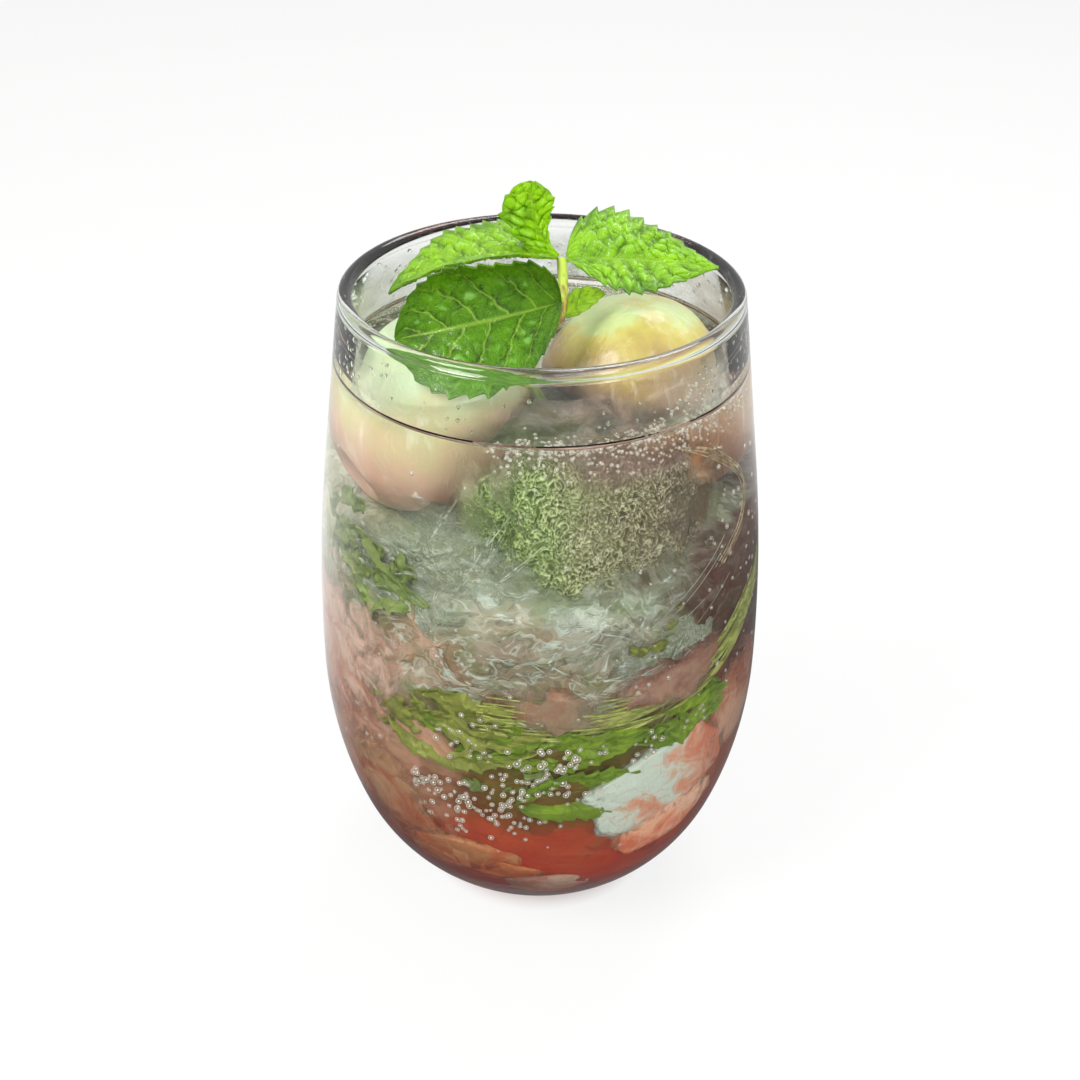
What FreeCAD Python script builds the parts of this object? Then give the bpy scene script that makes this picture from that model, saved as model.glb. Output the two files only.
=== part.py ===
import FreeCAD, Part
import math
import os
import Sketcher

# Watermelon lychee fizz: a round-bellied stemless glass, the drink in it, two
# peeled lychees that float in its top and a sprig of mint that stands in it.
# Millimetres. The origin is the middle of the glass's foot, on the table, and
# +Z is up. The widest part of the sprig's front leaf faces -Y.

doc = FreeCAD.newDocument("lychee_fizz")
sheet = doc.addObject("Spreadsheet::Sheet", "Sizes")

glassSizes = {
    "glass_height": 120.0,
    "belly_radius": 40.5,
    "belly_height": 48.3,
    "rim_inset": 6.6,          # how much narrower than the belly the rim is, each side
    "straight_wall": 31.7,     # height of the straight part of the wall under the rim
    "heel_inset": 2.5,         # the round heel's radius is this much under the belly's
    "foot_radius": 18.0,
    "foot_ring": 5.0,          # width of the flat ring that the glass stands on
    "push_up": 1.6,            # how far the middle of the foot is hollowed
    "wall": 1.7,
    "bead_radius": 1.25,       # the rim is rounded over into a bead
    "base_thickness": 4.5,
    "floor_corner": 30.0,      # radius from the glass's floor to its inner wall
}

fillSizes = {
    "headroom": 13.8,          # from the drink's surface to the rim
    "lychee_play": 1.2,        # what two lychees side by side leave free of the bore
    "lychee_touch": 0.1,       # from a lychee to the middle of the glass
    "lychee_depth": 6.6,       # from the drink's surface down to a lychee's middle
    "lychee_mouth": 5.6,       # radius of the hole that the stone came out of
    "mouth_depth": 4.5,
    "right_turn": 9.0,         # where each lychee floats, in degrees round the glass,
    "right_heading": 212.0,    # and which way the hole in it faces
    "right_climb": 6.0,
    "left_turn": 195.5,
    "left_heading": 205.0,
    "left_climb": -38.0,
    "stem_radius": 0.85,
    "leaf_thickness": 0.6,
    "sprig_bore": 31.4,        # the bore at the rim that the sprig is laid out for
    "tooth_depth": 0.035,      # of a leaf's half width
    "tooth_pitch": 2.9,
}

# A leaf's midrib starts from a joint of the stem in the direction "heading",
# "climb" degrees above level, and turns to "tip_climb" at its tip, "swerve"
# degrees round. Its blade is rolled about the midrib. Each half has its own
# width, the place along the midrib where it is widest, and a cup: how far it
# bends between midrib and edge. "fold" is how far both halves rise from flat.
leafSizes = {
    "front": {
        "joint": 1, "heading": 223.5, "swerve": -71.8, "climb": 3.3, "tip_climb": -23.5,
        "roll": -57.9, "twist": 8.4, "length": 29.6, "fullness": 0.70, "fold": 13.0,
        "left_width": 13.2, "left_widest": 0.58, "left_cup": 0.0,
        "right_width": 11.2, "right_widest": 0.45, "right_cup": 45.0,
    },
    "left": {
        "joint": 0, "heading": 188.4, "swerve": -3.0, "climb": 14.8, "tip_climb": -35.4,
        "roll": 3.5, "twist": 0.8, "length": 29.1, "fullness": 0.75, "fold": 11.0,
        "left_width": 6.0, "left_widest": 0.42, "left_cup": 5.0,
        "right_width": 11.2, "right_widest": 0.42, "right_cup": 1.0,
    },
    "top": {
        "joint": 0, "heading": 150.9, "swerve": 0.0, "climb": 34.0, "tip_climb": 101.3,
        "roll": -65.5, "twist": -0.9, "length": 13.5, "fullness": 0.66, "fold": 8.2,
        "left_width": 5.3, "left_widest": 0.65, "left_cup": -12.3,
        "right_width": 4.1, "right_widest": 0.77, "right_cup": 5.4,
    },
    "right": {
        "joint": 0, "heading": -3.2, "swerve": -16.4, "climb": 2.9, "tip_climb": 0.4,
        "roll": 42.0, "twist": -14.0, "length": 25.0, "fullness": 1.00, "fold": 4.9,
        "left_width": 10.8, "left_widest": 0.24, "left_cup": -30.0,
        "right_width": 7.0, "right_widest": 0.49, "right_cup": 13.0,
    },
    "small": {
        "joint": 2, "heading": 41.0, "swerve": 0.0, "climb": 23.7, "tip_climb": 0.0,
        "roll": 43.9, "twist": 0.0, "length": 8.8, "fullness": 0.65, "fold": 12.0,
        "left_width": 2.6, "left_widest": 0.42, "left_cup": 5.0,
        "right_width": 1.4, "right_widest": 0.42, "right_cup": 5.0,
    },
}

# The sprig's stem, from the joint that carries most leaves down into the drink:
# each point's place beside the glass's axis and its height over the drink.
stemPoints = [
    (3.2, -0.2, 18.0),
    (3.7, -6.2, 13.2),
    (3.2, -7.2, 10.4),
    (-0.2, -8.6, 8.4),
    (-3.2, -10.8, 4.8),
    (-2.5, -12.9, 0.4),
    (1.0, -13.0, -9.2),
    (2.0, -12.6, -16.2),
]

leafRows = 31                  # rows of points along a leaf's midrib
leafColumns = 9                # points across it
smallestHalf = 0.3             # half width at a leaf's two ends
bladeSteps = 24                # steps along the midrib when its bend is added up
lycheeRings = 13
ringPoints = 14
lycheeWaves = 0.035            # how far a lychee is from round, of its radius
lycheePole = math.radians(8)   # where its first ring lies, from the closed end
lycheePhases = {"right": 0.7, "left": 2.1}
# the rings in the stone's hole: each one's share of the mouth's radius and depth
mouthRings = ((0.80, -0.02), (0.62, 0.25), (0.50, 1.0))


def fillSheet():
    """Writes every driving size into a row of the sheet, with its alias."""
    rows = dict(glassSizes)
    rows.update(fillSizes)
    for leaf, values in leafSizes.items():
        for name, value in values.items():
            if name != "joint":
                rows[leaf + "_" + name] = value
    for row, (alias, value) in enumerate(rows.items(), start=1):
        sheet.set("A%d" % row, alias)
        sheet.set("B%d" % row, str(value))
        sheet.setAlias("B%d" % row, alias)
    doc.recompute()


def size(alias):
    return float(sheet.get(alias))


def shoulderAngle():
    """Slope of the straight wall, from the arc that leads into it from the belly."""
    rise = size("glass_height") - size("straight_wall") - size("belly_height")
    low, high = 0.0, 1.2
    for step in range(60):
        angle = (low + high) / 2
        reach = rise * math.tan(angle / 2) + size("straight_wall") * math.tan(angle)
        if reach < size("rim_inset"):
            low = angle
        else:
            high = angle
    return angle


class GlassCurve:
    """The centres and radii of the outer wall's arcs, in the XZ plane."""

    def __init__(self):
        self.belly = size("belly_radius")
        self.bellyHeight = size("belly_height")
        self.heelRadius = self.belly - size("heel_inset")
        self.heelHeight = math.sqrt(self.heelRadius ** 2 - size("foot_radius") ** 2)
        drop = self.bellyHeight - self.heelHeight
        excess = self.belly ** 2 + drop ** 2 - self.heelRadius ** 2
        self.lowerRadius = excess / (2 * size("heel_inset"))
        self.lowerCentre = self.belly - self.lowerRadius
        self.lean = shoulderAngle()
        self.straightStart = size("glass_height") - size("straight_wall")
        self.upperRadius = (self.straightStart - self.bellyHeight) / math.sin(self.lean)
        self.upperCentre = self.belly - self.upperRadius
        self.heelAngle = math.atan2(drop, self.lowerCentre) - math.pi

    def wallAt(self, height, inset):
        """Radius of the straight wall's surface, "inset" inside its outer one."""
        rim = self.belly - size("rim_inset")
        outer = rim + (size("glass_height") - height) * math.tan(self.lean)
        return outer - inset / math.cos(self.lean)


def point(x, z):
    return FreeCAD.Vector(x, z, 0)


def arc(centreX, centreZ, radius, start, end):
    """An arc in a sketch, from one angle anticlockwise to the other, in radians."""
    circle = Part.Circle(point(centreX, centreZ), FreeCAD.Vector(0, 0, 1), radius)
    return Part.ArcOfCircle(circle, start, end)


def newSketch(body, name):
    """A sketch on the body's own XZ plane."""
    plane = [item for item in body.Origin.OriginFeatures if item.Role == "XZ_Plane"][0]
    sketch = body.newObject("Sketcher::SketchObject", name)
    sketch.AttachmentSupport = [(plane, "")]
    sketch.MapMode = "FlatFace"
    return sketch


def joinEnds(sketch):
    """Ties each two ends of the sketch's pieces that lie on one point."""
    ends = []
    for index in range(sketch.GeometryCount):
        for vertex in (1, 2):
            ends.append((index, vertex, sketch.getPoint(index, vertex)))
    for first, (index, vertex, place) in enumerate(ends):
        for other, otherVertex, otherPlace in ends[first + 1:]:
            if (place - otherPlace).Length < 1e-6:
                sketch.addConstraint(Sketcher.Constraint("Coincident", index, vertex, other, otherVertex))


def bind(sketch, constraint, expression):
    """Adds one measure to the sketch and ties it to the sheet."""
    number = sketch.addConstraint(constraint)
    sketch.setExpression("Constraints[%d]" % number, expression)


def innerWall(sketch, curve, topHeight):
    """The inside of the glass, from its axis along the floor and up the wall."""
    wall = size("wall")
    corner = size("floor_corner")
    floor = size("base_thickness")
    bowRadius = curve.lowerRadius - wall
    drop = curve.bellyHeight - floor - corner
    cornerX = curve.lowerCentre + math.sqrt((bowRadius - corner) ** 2 - drop ** 2)
    cornerAngle = math.atan2(-drop, cornerX - curve.lowerCentre)
    top = point(curve.wallAt(topHeight, wall), topHeight)
    upper = curve.upperRadius - wall
    bend = point(curve.upperCentre + upper * math.cos(curve.lean),
                 curve.bellyHeight + upper * math.sin(curve.lean))
    first = sketch.GeometryCount
    sketch.addGeometry(Part.LineSegment(point(0, floor), point(cornerX, floor)))
    sketch.addGeometry(arc(cornerX, floor + corner, corner, -math.pi / 2, cornerAngle))
    sketch.addGeometry(arc(curve.lowerCentre, curve.bellyHeight, bowRadius, cornerAngle, 0))
    sketch.addGeometry(arc(curve.upperCentre, curve.bellyHeight, upper, 0, curve.lean))
    sketch.addGeometry(Part.LineSegment(bend, top))
    bind(sketch, Sketcher.Constraint("Radius", first + 1, corner), "Sizes.floor_corner")
    bind(sketch, Sketcher.Constraint("DistanceY", -1, 1, first, 1, floor), "Sizes.base_thickness")
    return top


def makeGlass(curve):
    """One revolved body: foot with its push-up, round heel, belly, wall and beaded rim."""
    body = doc.addObject("PartDesign::Body", "glass")
    sketch = newSketch(body, "glass_section")
    height = size("glass_height")
    bead = size("bead_radius")
    wall = size("wall")
    foot = size("foot_radius")
    ring = foot - size("foot_ring")
    pushUp = size("push_up")
    hollow = (ring ** 2 + pushUp ** 2) / (2 * pushUp)
    hollowAngle = math.atan2(hollow - pushUp, ring)
    beadSine = math.sin(curve.lean)
    beadCosine = math.cos(curve.lean)
    touchHeight = height - bead + bead * beadSine
    touch = point(curve.wallAt(touchHeight, 0), touchHeight)
    beadCentre = point(touch.x - bead * beadCosine, height - bead)
    bend = point(curve.wallAt(curve.straightStart, 0), curve.straightStart)
    # the bead swells into the bore and meets the inner wall under its middle
    overhang = math.acos((wall - bead) / bead)
    innerAngle = math.pi + curve.lean + overhang
    innerTop = beadCentre.y + bead * math.sin(innerAngle)

    sketch.addGeometry(arc(0, pushUp - hollow, hollow, hollowAngle, math.pi / 2))
    sketch.addGeometry(Part.LineSegment(point(ring, 0), point(foot, 0)))
    sketch.addGeometry(arc(0, curve.heelHeight, curve.heelRadius,
                           math.atan2(-curve.heelHeight, foot), curve.heelAngle))
    sketch.addGeometry(arc(curve.lowerCentre, curve.bellyHeight, curve.lowerRadius, curve.heelAngle, 0))
    sketch.addGeometry(arc(curve.upperCentre, curve.bellyHeight, curve.upperRadius, 0, curve.lean))
    sketch.addGeometry(Part.LineSegment(bend, touch))
    sketch.addGeometry(arc(beadCentre.x, beadCentre.y, bead, curve.lean, innerAngle))
    innerWall(sketch, curve, innerTop)
    sketch.addGeometry(Part.LineSegment(point(0, pushUp), point(0, size("base_thickness"))))
    joinEnds(sketch)
    bind(sketch, Sketcher.Constraint("DistanceX", -1, 1, 1, 2, foot), "Sizes.foot_radius")
    bind(sketch, Sketcher.Constraint("DistanceX", 1, 1, 1, 2, foot - ring), "Sizes.foot_ring")
    bind(sketch, Sketcher.Constraint("DistanceY", -1, 1, 0, 2, pushUp), "Sizes.push_up")
    bind(sketch, Sketcher.Constraint("Radius", 2, curve.heelRadius), "Sizes.belly_radius - Sizes.heel_inset")
    bind(sketch, Sketcher.Constraint("Radius", 6, bead), "Sizes.bead_radius")

    turn = body.newObject("PartDesign::Revolution", "glass_turned")
    turn.Profile = sketch
    turn.ReferenceAxis = (sketch, ["V_Axis"])
    turn.Angle = 360
    return body


def makeFill(curve, level):
    """What the glass holds up to the drink's surface, before anything is cut from it."""
    body = doc.addObject("PartDesign::Body", "fill")
    sketch = newSketch(body, "fill_section")
    top = innerWall(sketch, curve, level)
    sketch.addGeometry(Part.LineSegment(top, point(0, level)))
    sketch.addGeometry(Part.LineSegment(point(0, level), point(0, size("base_thickness"))))
    joinEnds(sketch)
    bind(sketch, Sketcher.Constraint("DistanceY", -1, 1, sketch.GeometryCount - 1, 1, level),
         "Sizes.glass_height - Sizes.headroom")
    turn = body.newObject("PartDesign::Revolution", "fill_turned")
    turn.Profile = sketch
    turn.ReferenceAxis = (sketch, ["V_Axis"])
    turn.Angle = 360
    return body


def ringWire(radius, height, phase):
    """A closed smooth ring of a lychee, a little out of round."""
    points = []
    for index in range(ringPoints):
        turn = 2 * math.pi * index / ringPoints
        swell = 0.6 * math.cos(2 * turn + phase) + 0.4 * math.cos(3 * turn - 2 * phase)
        reach = radius * (1 - lycheeWaves * (1 + swell) / 2)
        points.append(FreeCAD.Vector(reach * math.cos(turn), reach * math.sin(turn), height))
    curve = Part.BSplineCurve()
    curve.interpolate(points, PeriodicFlag=True)
    return Part.Wire([curve.toShape()])


def lycheeShape(radius, phase):
    """A peeled lychee about its own middle: round, with the stone's hole in its top."""
    mouth = size("lychee_mouth")
    depth = size("mouth_depth")
    lip = math.asin(mouth / radius)
    rings = []
    for index in range(lycheeRings):
        tilt = lycheePole + (math.pi - lip - lycheePole) * index / (lycheeRings - 1)
        rings.append(ringWire(radius * math.sin(tilt), -radius * math.cos(tilt), phase + tilt))
    lipHeight = radius * math.cos(lip)
    for share, sink in mouthRings:
        rings.append(ringWire(mouth * share, lipHeight - sink * depth, phase + math.pi - lip))
    return Part.makeLoft(rings, True, False)


def addLychee(side, radius, middle):
    """Floats a lychee beside the glass's axis, with the hole in it turned its own way."""
    turn = math.radians(size(side + "_turn"))
    offset = radius + size("lychee_touch")
    centre = FreeCAD.Vector(offset * math.cos(turn), offset * math.sin(turn), middle)
    facing = FreeCAD.Rotation(FreeCAD.Vector(0, 0, 1), size(side + "_heading"))
    facing = facing.multiply(FreeCAD.Rotation(FreeCAD.Vector(0, 1, 0), 90 - size(side + "_climb")))
    lychee = doc.addObject("Part::Feature", "lychee_" + side)
    lychee.Label = "lychee_" + side
    lychee.Shape = lycheeShape(radius, lycheePhases[side])
    lychee.Placement = FreeCAD.Placement(centre, facing)
    return lychee


def stemCurve(level, spread):
    """The stem's middle line as a smooth curve, and the places of its points."""
    places = [FreeCAD.Vector(x * spread, y * spread, level + rise) for x, y, rise in stemPoints]
    curve = Part.BSplineCurve()
    curve.interpolate(places)
    return curve, places


def makeStem(curve):
    """A round stalk swept along its middle line."""
    path = doc.addObject("Part::Feature", "stem_line")
    path.Shape = Part.Wire([curve.toShape()])
    section = doc.addObject("Part::Circle", "stem_section")
    section.setExpression("Radius", "Sizes.stem_radius")
    start = curve.value(curve.FirstParameter)
    along = curve.tangent(curve.FirstParameter)[0]
    section.Placement = FreeCAD.Placement(start, FreeCAD.Rotation(FreeCAD.Vector(0, 0, 1), along))
    stem = doc.addObject("Part::Sweep", "mint_stem")
    stem.Label = "mint_stem"
    stem.Spine = (path, ["Edge1"])
    stem.Sections = [section]
    stem.Solid = True
    stem.Frenet = False
    doc.recompute()
    return stem


class LeafBlade:
    """Points on a mint leaf's blade."""

    def __init__(self, name, root, spread):
        self.name = name
        self.root = root
        self.spread = spread

    def get(self, key):
        return size(self.name + "_" + key)

    def way(self, along):
        """Heading and climb of the midrib, in radians."""
        heading = self.get("heading") + self.get("swerve") * along
        climb = self.get("climb") + (self.get("tip_climb") - self.get("climb")) * along
        return math.radians(heading), math.radians(climb)

    def direction(self, along):
        heading, climb = self.way(along)
        level = math.cos(climb)
        return FreeCAD.Vector(level * math.cos(heading), level * math.sin(heading), math.sin(climb))

    def midrib(self, along):
        place = self.root + self.direction(0) * size("stem_radius")
        for step in range(bladeSteps):
            share = (step + 0.5) / bladeSteps * along
            place += self.direction(share) * (along / bladeSteps * self.get("length") * self.spread)
        return place

    def halfWidth(self, along, side):
        """Width of one half there, with its teeth."""
        widest = self.get(side + "_widest")
        bow = math.log(0.5) / math.log(widest)
        swell = math.sin(math.pi * min(max(along, 0.001), 0.999) ** bow) ** self.get("fullness")
        teeth = round(self.get("length") / size("tooth_pitch"))
        tooth = size("tooth_depth") * math.cos(2 * math.pi * teeth * along)
        return max(self.get(side + "_width") * self.spread * swell * (1 + tooth), smallestHalf)

    def place(self, along, across):
        """A point and the blade's normal; across runs from -1, right, to 1, left."""
        heading, climb = self.way(along)
        ahead = self.direction(along)
        level = FreeCAD.Vector(-math.sin(heading), math.cos(heading), 0)
        up = ahead.cross(level)
        roll = math.radians(self.get("roll") + self.get("twist") * along)
        outward = level * math.cos(roll) + up * math.sin(roll)
        normal = up * math.cos(roll) - level * math.sin(roll)
        side = "left" if across > 0 else "right"
        half = self.halfWidth(along, side)
        fold = math.radians(self.get("fold"))
        bend = fold + math.radians(self.get(side + "_cup")) * abs(across)
        middle = (fold + bend) / 2
        reach = half * abs(across) * math.cos(middle)
        lift = half * abs(across) * math.sin(middle)
        sign = 1 if across > 0 else -1
        spot = self.midrib(along) + outward * (sign * reach) + normal * lift
        tilt = -sign * math.sin(bend) * min(1.0, 2 * abs(across))
        facing = normal * math.cos(bend) + outward * tilt
        facing.normalize()
        return spot, facing

    def shape(self):
        """The blade as a closed thin solid of small flat facets."""
        half = size("leaf_thickness") / 2
        upper = []
        lower = []
        for row in range(leafRows):
            along = row / (leafRows - 1)
            line = [self.place(along, 2 * column / (leafColumns - 1) - 1) for column in range(leafColumns)]
            upper.append([place + facing * half for place, facing in line])
            lower.append([place - facing * half for place, facing in line])
        facets = []
        addGrid(facets, upper)
        addGrid(facets, lower[::-1])
        for edge in ((0, False), (-1, True)):
            addGrid(facets, edgeStrip(upper[edge[0]], lower[edge[0]], edge[1]))
            topLine = [row[edge[0]] for row in upper]
            bottomLine = [row[edge[0]] for row in lower]
            addGrid(facets, edgeStrip(topLine, bottomLine, not edge[1]))
        solid = Part.Solid(Part.Shell(facets))
        if solid.Volume < 0:
            solid.reverse()
        return solid


def edgeStrip(upperLine, lowerLine, swapped):
    """The narrow grid between an upper and a lower edge of a blade."""
    if swapped:
        return [upperLine, lowerLine]
    return [lowerLine, upperLine]


def addGrid(facets, grid):
    """Adds two triangles for each four neighbours of a grid of points."""
    for near, far in zip(grid, grid[1:]):
        for column in range(len(near) - 1):
            corners = (near[column], near[column + 1], far[column + 1], far[column])
            for first, second, third in ((0, 1, 2), (0, 2, 3)):
                loop = [corners[first], corners[second], corners[third], corners[first]]
                facets.append(Part.Face(Part.makePolygon(loop)))


def addLeaf(name, root, spread):
    leaf = doc.addObject("Part::Feature", "mint_leaf_" + name)
    leaf.Label = "mint_leaf_" + name
    leaf.Shape = LeafBlade(name, root, spread).shape()
    return leaf


def makeDrink(fill, inside):
    """The drink: the glass's fill, less the lychees and the stem that stand in it."""
    tools = doc.addObject("Part::MultiFuse", "sunk_pieces")
    tools.Shapes = inside
    drink = doc.addObject("Part::Cut", "drink")
    drink.Label = "drink"
    drink.Base = fill
    drink.Tool = tools
    return drink


def checkAll(parts):
    """Stops if anything failed to recompute or is not a sound solid."""
    for item in doc.Objects:
        if "Invalid" in item.State or "Error" in item.State:
            raise RuntimeError("failed: " + item.Name)
    for item in parts:
        shape = item.Shape
        if shape.isNull() or not shape.isValid() or not shape.Solids:
            raise RuntimeError("not a sound solid: " + item.Label)
        print("%-18s solids %d  volume %.1f" % (item.Label, len(shape.Solids), shape.Volume))


def main():
    fillSheet()
    curve = GlassCurve()
    level = size("glass_height") - size("headroom")
    spread = curve.wallAt(size("glass_height"), 2 * size("bead_radius")) / size("sprig_bore")

    glass = makeGlass(curve)
    fill = makeFill(curve, level)

    middle = level - size("lychee_depth")
    radius = (curve.wallAt(middle, size("wall")) - size("lychee_play")) / 2
    lychees = [addLychee(side, radius, middle) for side in ("right", "left")]

    line, joints = stemCurve(level, spread)
    stem = makeStem(line)
    leaves = [addLeaf(name, joints[values["joint"]], spread) for name, values in leafSizes.items()]
    drink = makeDrink(fill, lychees + [stem])

    glass.Label = "glass"
    doc.recompute()
    parts = [glass, drink] + lychees + [stem] + leaves
    checkAll(parts)
    os.makedirs("parts", exist_ok=True)
    for item in parts:
        item.Shape.exportStep(os.path.join("parts", item.Label + ".step"))


main()
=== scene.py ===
import bpy
import math
import random
from mathutils import Matrix, Vector, noise


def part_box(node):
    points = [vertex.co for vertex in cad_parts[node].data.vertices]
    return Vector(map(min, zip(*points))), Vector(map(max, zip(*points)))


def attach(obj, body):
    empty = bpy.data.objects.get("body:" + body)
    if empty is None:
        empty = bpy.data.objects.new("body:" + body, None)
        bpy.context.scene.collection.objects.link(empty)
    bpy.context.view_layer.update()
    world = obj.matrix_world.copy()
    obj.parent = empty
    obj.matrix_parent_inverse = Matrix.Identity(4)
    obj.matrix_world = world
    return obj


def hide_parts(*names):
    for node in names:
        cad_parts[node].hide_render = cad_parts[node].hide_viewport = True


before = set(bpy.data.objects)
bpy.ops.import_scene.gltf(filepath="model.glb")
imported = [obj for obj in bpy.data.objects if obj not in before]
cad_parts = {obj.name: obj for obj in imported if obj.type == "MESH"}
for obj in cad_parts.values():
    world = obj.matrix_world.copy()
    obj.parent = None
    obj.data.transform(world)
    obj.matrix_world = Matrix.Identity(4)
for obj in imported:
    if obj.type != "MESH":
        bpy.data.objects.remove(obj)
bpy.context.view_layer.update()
mm = 0.001
random.seed(12)

scene = bpy.context.scene
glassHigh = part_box("glass")[1].z / mm  # heights and sizes below are in millimetres
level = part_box("drink")[1].z / mm  # the drink's surface


def pickNone():
    if bpy.context.object and bpy.context.object.mode != "OBJECT":
        bpy.ops.object.mode_set(mode="OBJECT")
    bpy.ops.object.select_all(action="DESELECT")


def pickOnly(piece):
    pickNone()
    piece.select_set(True)
    bpy.context.view_layer.objects.active = piece


# picks the faces that pass the test, and nothing else, ready for edit mode
def pickFaces(piece, test):
    pickOnly(piece)
    bpy.ops.object.mode_set(mode="EDIT")
    bpy.ops.mesh.select_mode(type="FACE")
    bpy.ops.mesh.select_all(action="DESELECT")
    bpy.ops.object.mode_set(mode="OBJECT")
    for face in piece.data.polygons:
        face.select = test(face)
    bpy.ops.object.mode_set(mode="EDIT")


# adds a primitive with nothing else picked
def addPiece(name, operator, **values):
    pickNone()
    operator(**values)
    piece = bpy.context.object
    piece.name = name
    return piece


# a flat grid from -1 to 1 each way, which is then laid out point by point
def addGrid(name, columns, rows):
    return addPiece(name, bpy.ops.mesh.primitive_grid_add, x_subdivisions=columns, y_subdivisions=rows,
                    size=2.0)


# the place, turn and size go into the mesh
def settle(piece):
    pickOnly(piece)
    bpy.ops.object.transform_apply(location=True, rotation=True, scale=True)


def smooth(piece, angle=180):
    pickOnly(piece)
    bpy.ops.object.shade_smooth_by_angle(angle=math.radians(angle))


# adds a modifier and applies it
def modify(piece, kind, **values):
    modifier = piece.modifiers.new(kind.lower(), kind)
    for key, value in values.items():
        setattr(modifier, key, value)
    pickOnly(piece)
    bpy.ops.object.modifier_apply(modifier=modifier.name)


def roughen(piece, strength, scale, depth=2):
    cloud = bpy.data.textures.new(piece.name + "Cloud", "CLOUDS")
    cloud.noise_scale = scale
    cloud.noise_depth = depth
    modify(piece, "DISPLACE", texture=cloud, texture_coords="GLOBAL", strength=strength, mid_level=0.5)


def joinPieces(pieces, name):
    pickNone()
    for piece in pieces:
        piece.select_set(True)
    bpy.context.view_layer.objects.active = pieces[0]
    bpy.ops.object.join()
    joined = bpy.context.object
    joined.name = name
    smooth(joined)
    return joined


def dress(piece, finish, slotName, *replaced):
    piece.data.materials.clear()
    piece.data.materials.append(finish)
    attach(piece, "root")
    if replaced:
        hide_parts(*replaced)


# rows that are written under one set of names, as a dictionary for each row
def named(names, rows):
    return {key: dict(zip(names.split(), row)) for key, row in rows.items()}


# a colour as a screen shows it, 0 to 255, turned into the renderer's own
def tint(colour):
    return tuple((part / 255 / 12.92 if part < 10.3 else ((part / 255 + 0.055) / 1.055) ** 2.4)
                 for part in colour[:3]) + (1.0,)


# a tree of shader nodes, with short ways to add to it
class Nodes:
    place = None

    def __init__(self, tree):
        self.tree = tree

    # each input gets a number, or a link to what feeds it
    def feed(self, node, inputs):
        for key, value in inputs.items():
            if hasattr(value, "is_output"):
                self.tree.links.new(value, node.inputs[key])
            else:
                node.inputs[key].default_value = value

    def add(self, kind, inputs, **values):
        node = self.tree.nodes.new("ShaderNode" + kind)
        for key, value in values.items():
            setattr(node, key, value)
        self.feed(node, inputs)
        return node.outputs

    def mapped(self, source, stretch, turn=(0, 0, 0), shift=(0, 0, 0)):
        inputs = {"Vector": source, "Scale": stretch, "Rotation": turn, "Location": shift}
        return self.add("Mapping", inputs)["Vector"]

    def cloud(self, scale, detail=3.0, rough=0.55, warp=0.0, source=None, stretch=None, turn=(0, 0, 0),
              shift=(0, 0, 0), output="Fac"):
        source = self.place if source is None else source
        if stretch:
            source = self.mapped(source, stretch, turn, shift)
        inputs = {"Vector": source, "Scale": scale, "Detail": detail, "Roughness": rough, "Distortion": warp}
        return self.add("TexNoise", inputs)[output]

    # a broken-up pattern: each cell's own colour, or how far its edge is
    def cells(self, source, scale, edges=False):
        feature, output = ("DISTANCE_TO_EDGE", "Distance") if edges else ("F1", "Color")
        return self.add("TexVoronoi", {"Vector": source, "Scale": scale}, feature=feature)[output]

    def sum(self, operation, *values):
        return self.add("Math", dict(enumerate(values)), operation=operation)[0]

    def chain(self, operation, first, others):
        for other in others:
            first = self.sum(operation, first, other)
        return first

    def plus(self, first, *others):
        return self.chain("ADD", first, others)

    def times(self, first, *others):
        return self.chain("MULTIPLY", first, others)

    def minus(self, first, second):
        return self.sum("SUBTRACT", first, second)

    def most(self, first, second):
        return self.sum("MAXIMUM", first, second)

    def size(self, value):
        return self.sum("ABSOLUTE", value)

    def span(self, value, fromLow, fromHigh, toLow=0.0, toHigh=1.0):
        inputs = {"Value": value, "From Min": fromLow, "From Max": fromHigh, "To Min": toLow, "To Max": toHigh}
        return self.add("MapRange", inputs)["Result"]

    # the value, pushed up and down by a cloud
    def sway(self, value, cloud, amount):
        return self.plus(value, self.span(cloud, 0.3, 0.7, -amount, amount))

    # thin lines where a cloud is half-way, full up to "low" and gone past "high"
    def lines(self, cloud, low, high):
        return self.span(self.size(self.minus(cloud, 0.5)), low, high, 1.0, 0.0)

    def ramp(self, value, stops):
        fac = self.add("ValToRGB", {"Fac": value})
        stripes = fac["Color"].node.color_ramp.elements
        while len(stripes) < len(stops):
            stripes.new(0.5)
        for stripe, (place, colour) in zip(stripes, stops):
            stripe.position = place
            stripe.color = tint(colour)
        return fac["Color"]

    def blend(self, share, first, second):
        first, second = [tint(colour) if isinstance(colour, tuple) else colour for colour in (first, second)]
        inputs = {"Factor": share, "A": first, "B": second}
        return self.add("Mix", inputs, data_type="RGBA", clamp_factor=True)["Result"]

    def split(self, source=None):
        return self.add("SeparateXYZ", {0: self.place if source is None else source})

    def mixShaders(self, share, first, second):
        return self.add("MixShader", {0: share, 1: first, 2: second})[0]


shaderInputs = {
    "colour": ["Base Color"], "rough": ["Roughness"], "ior": ["IOR"], "clear": ["Transmission Weight"],
    "specular": ["Specular IOR Level"], "alpha": ["Alpha"], "coat": ["Coat Weight", "Coat Roughness"],
    "soft": ["Subsurface Weight", "Subsurface Radius", "Subsurface Scale"],
}


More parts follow.
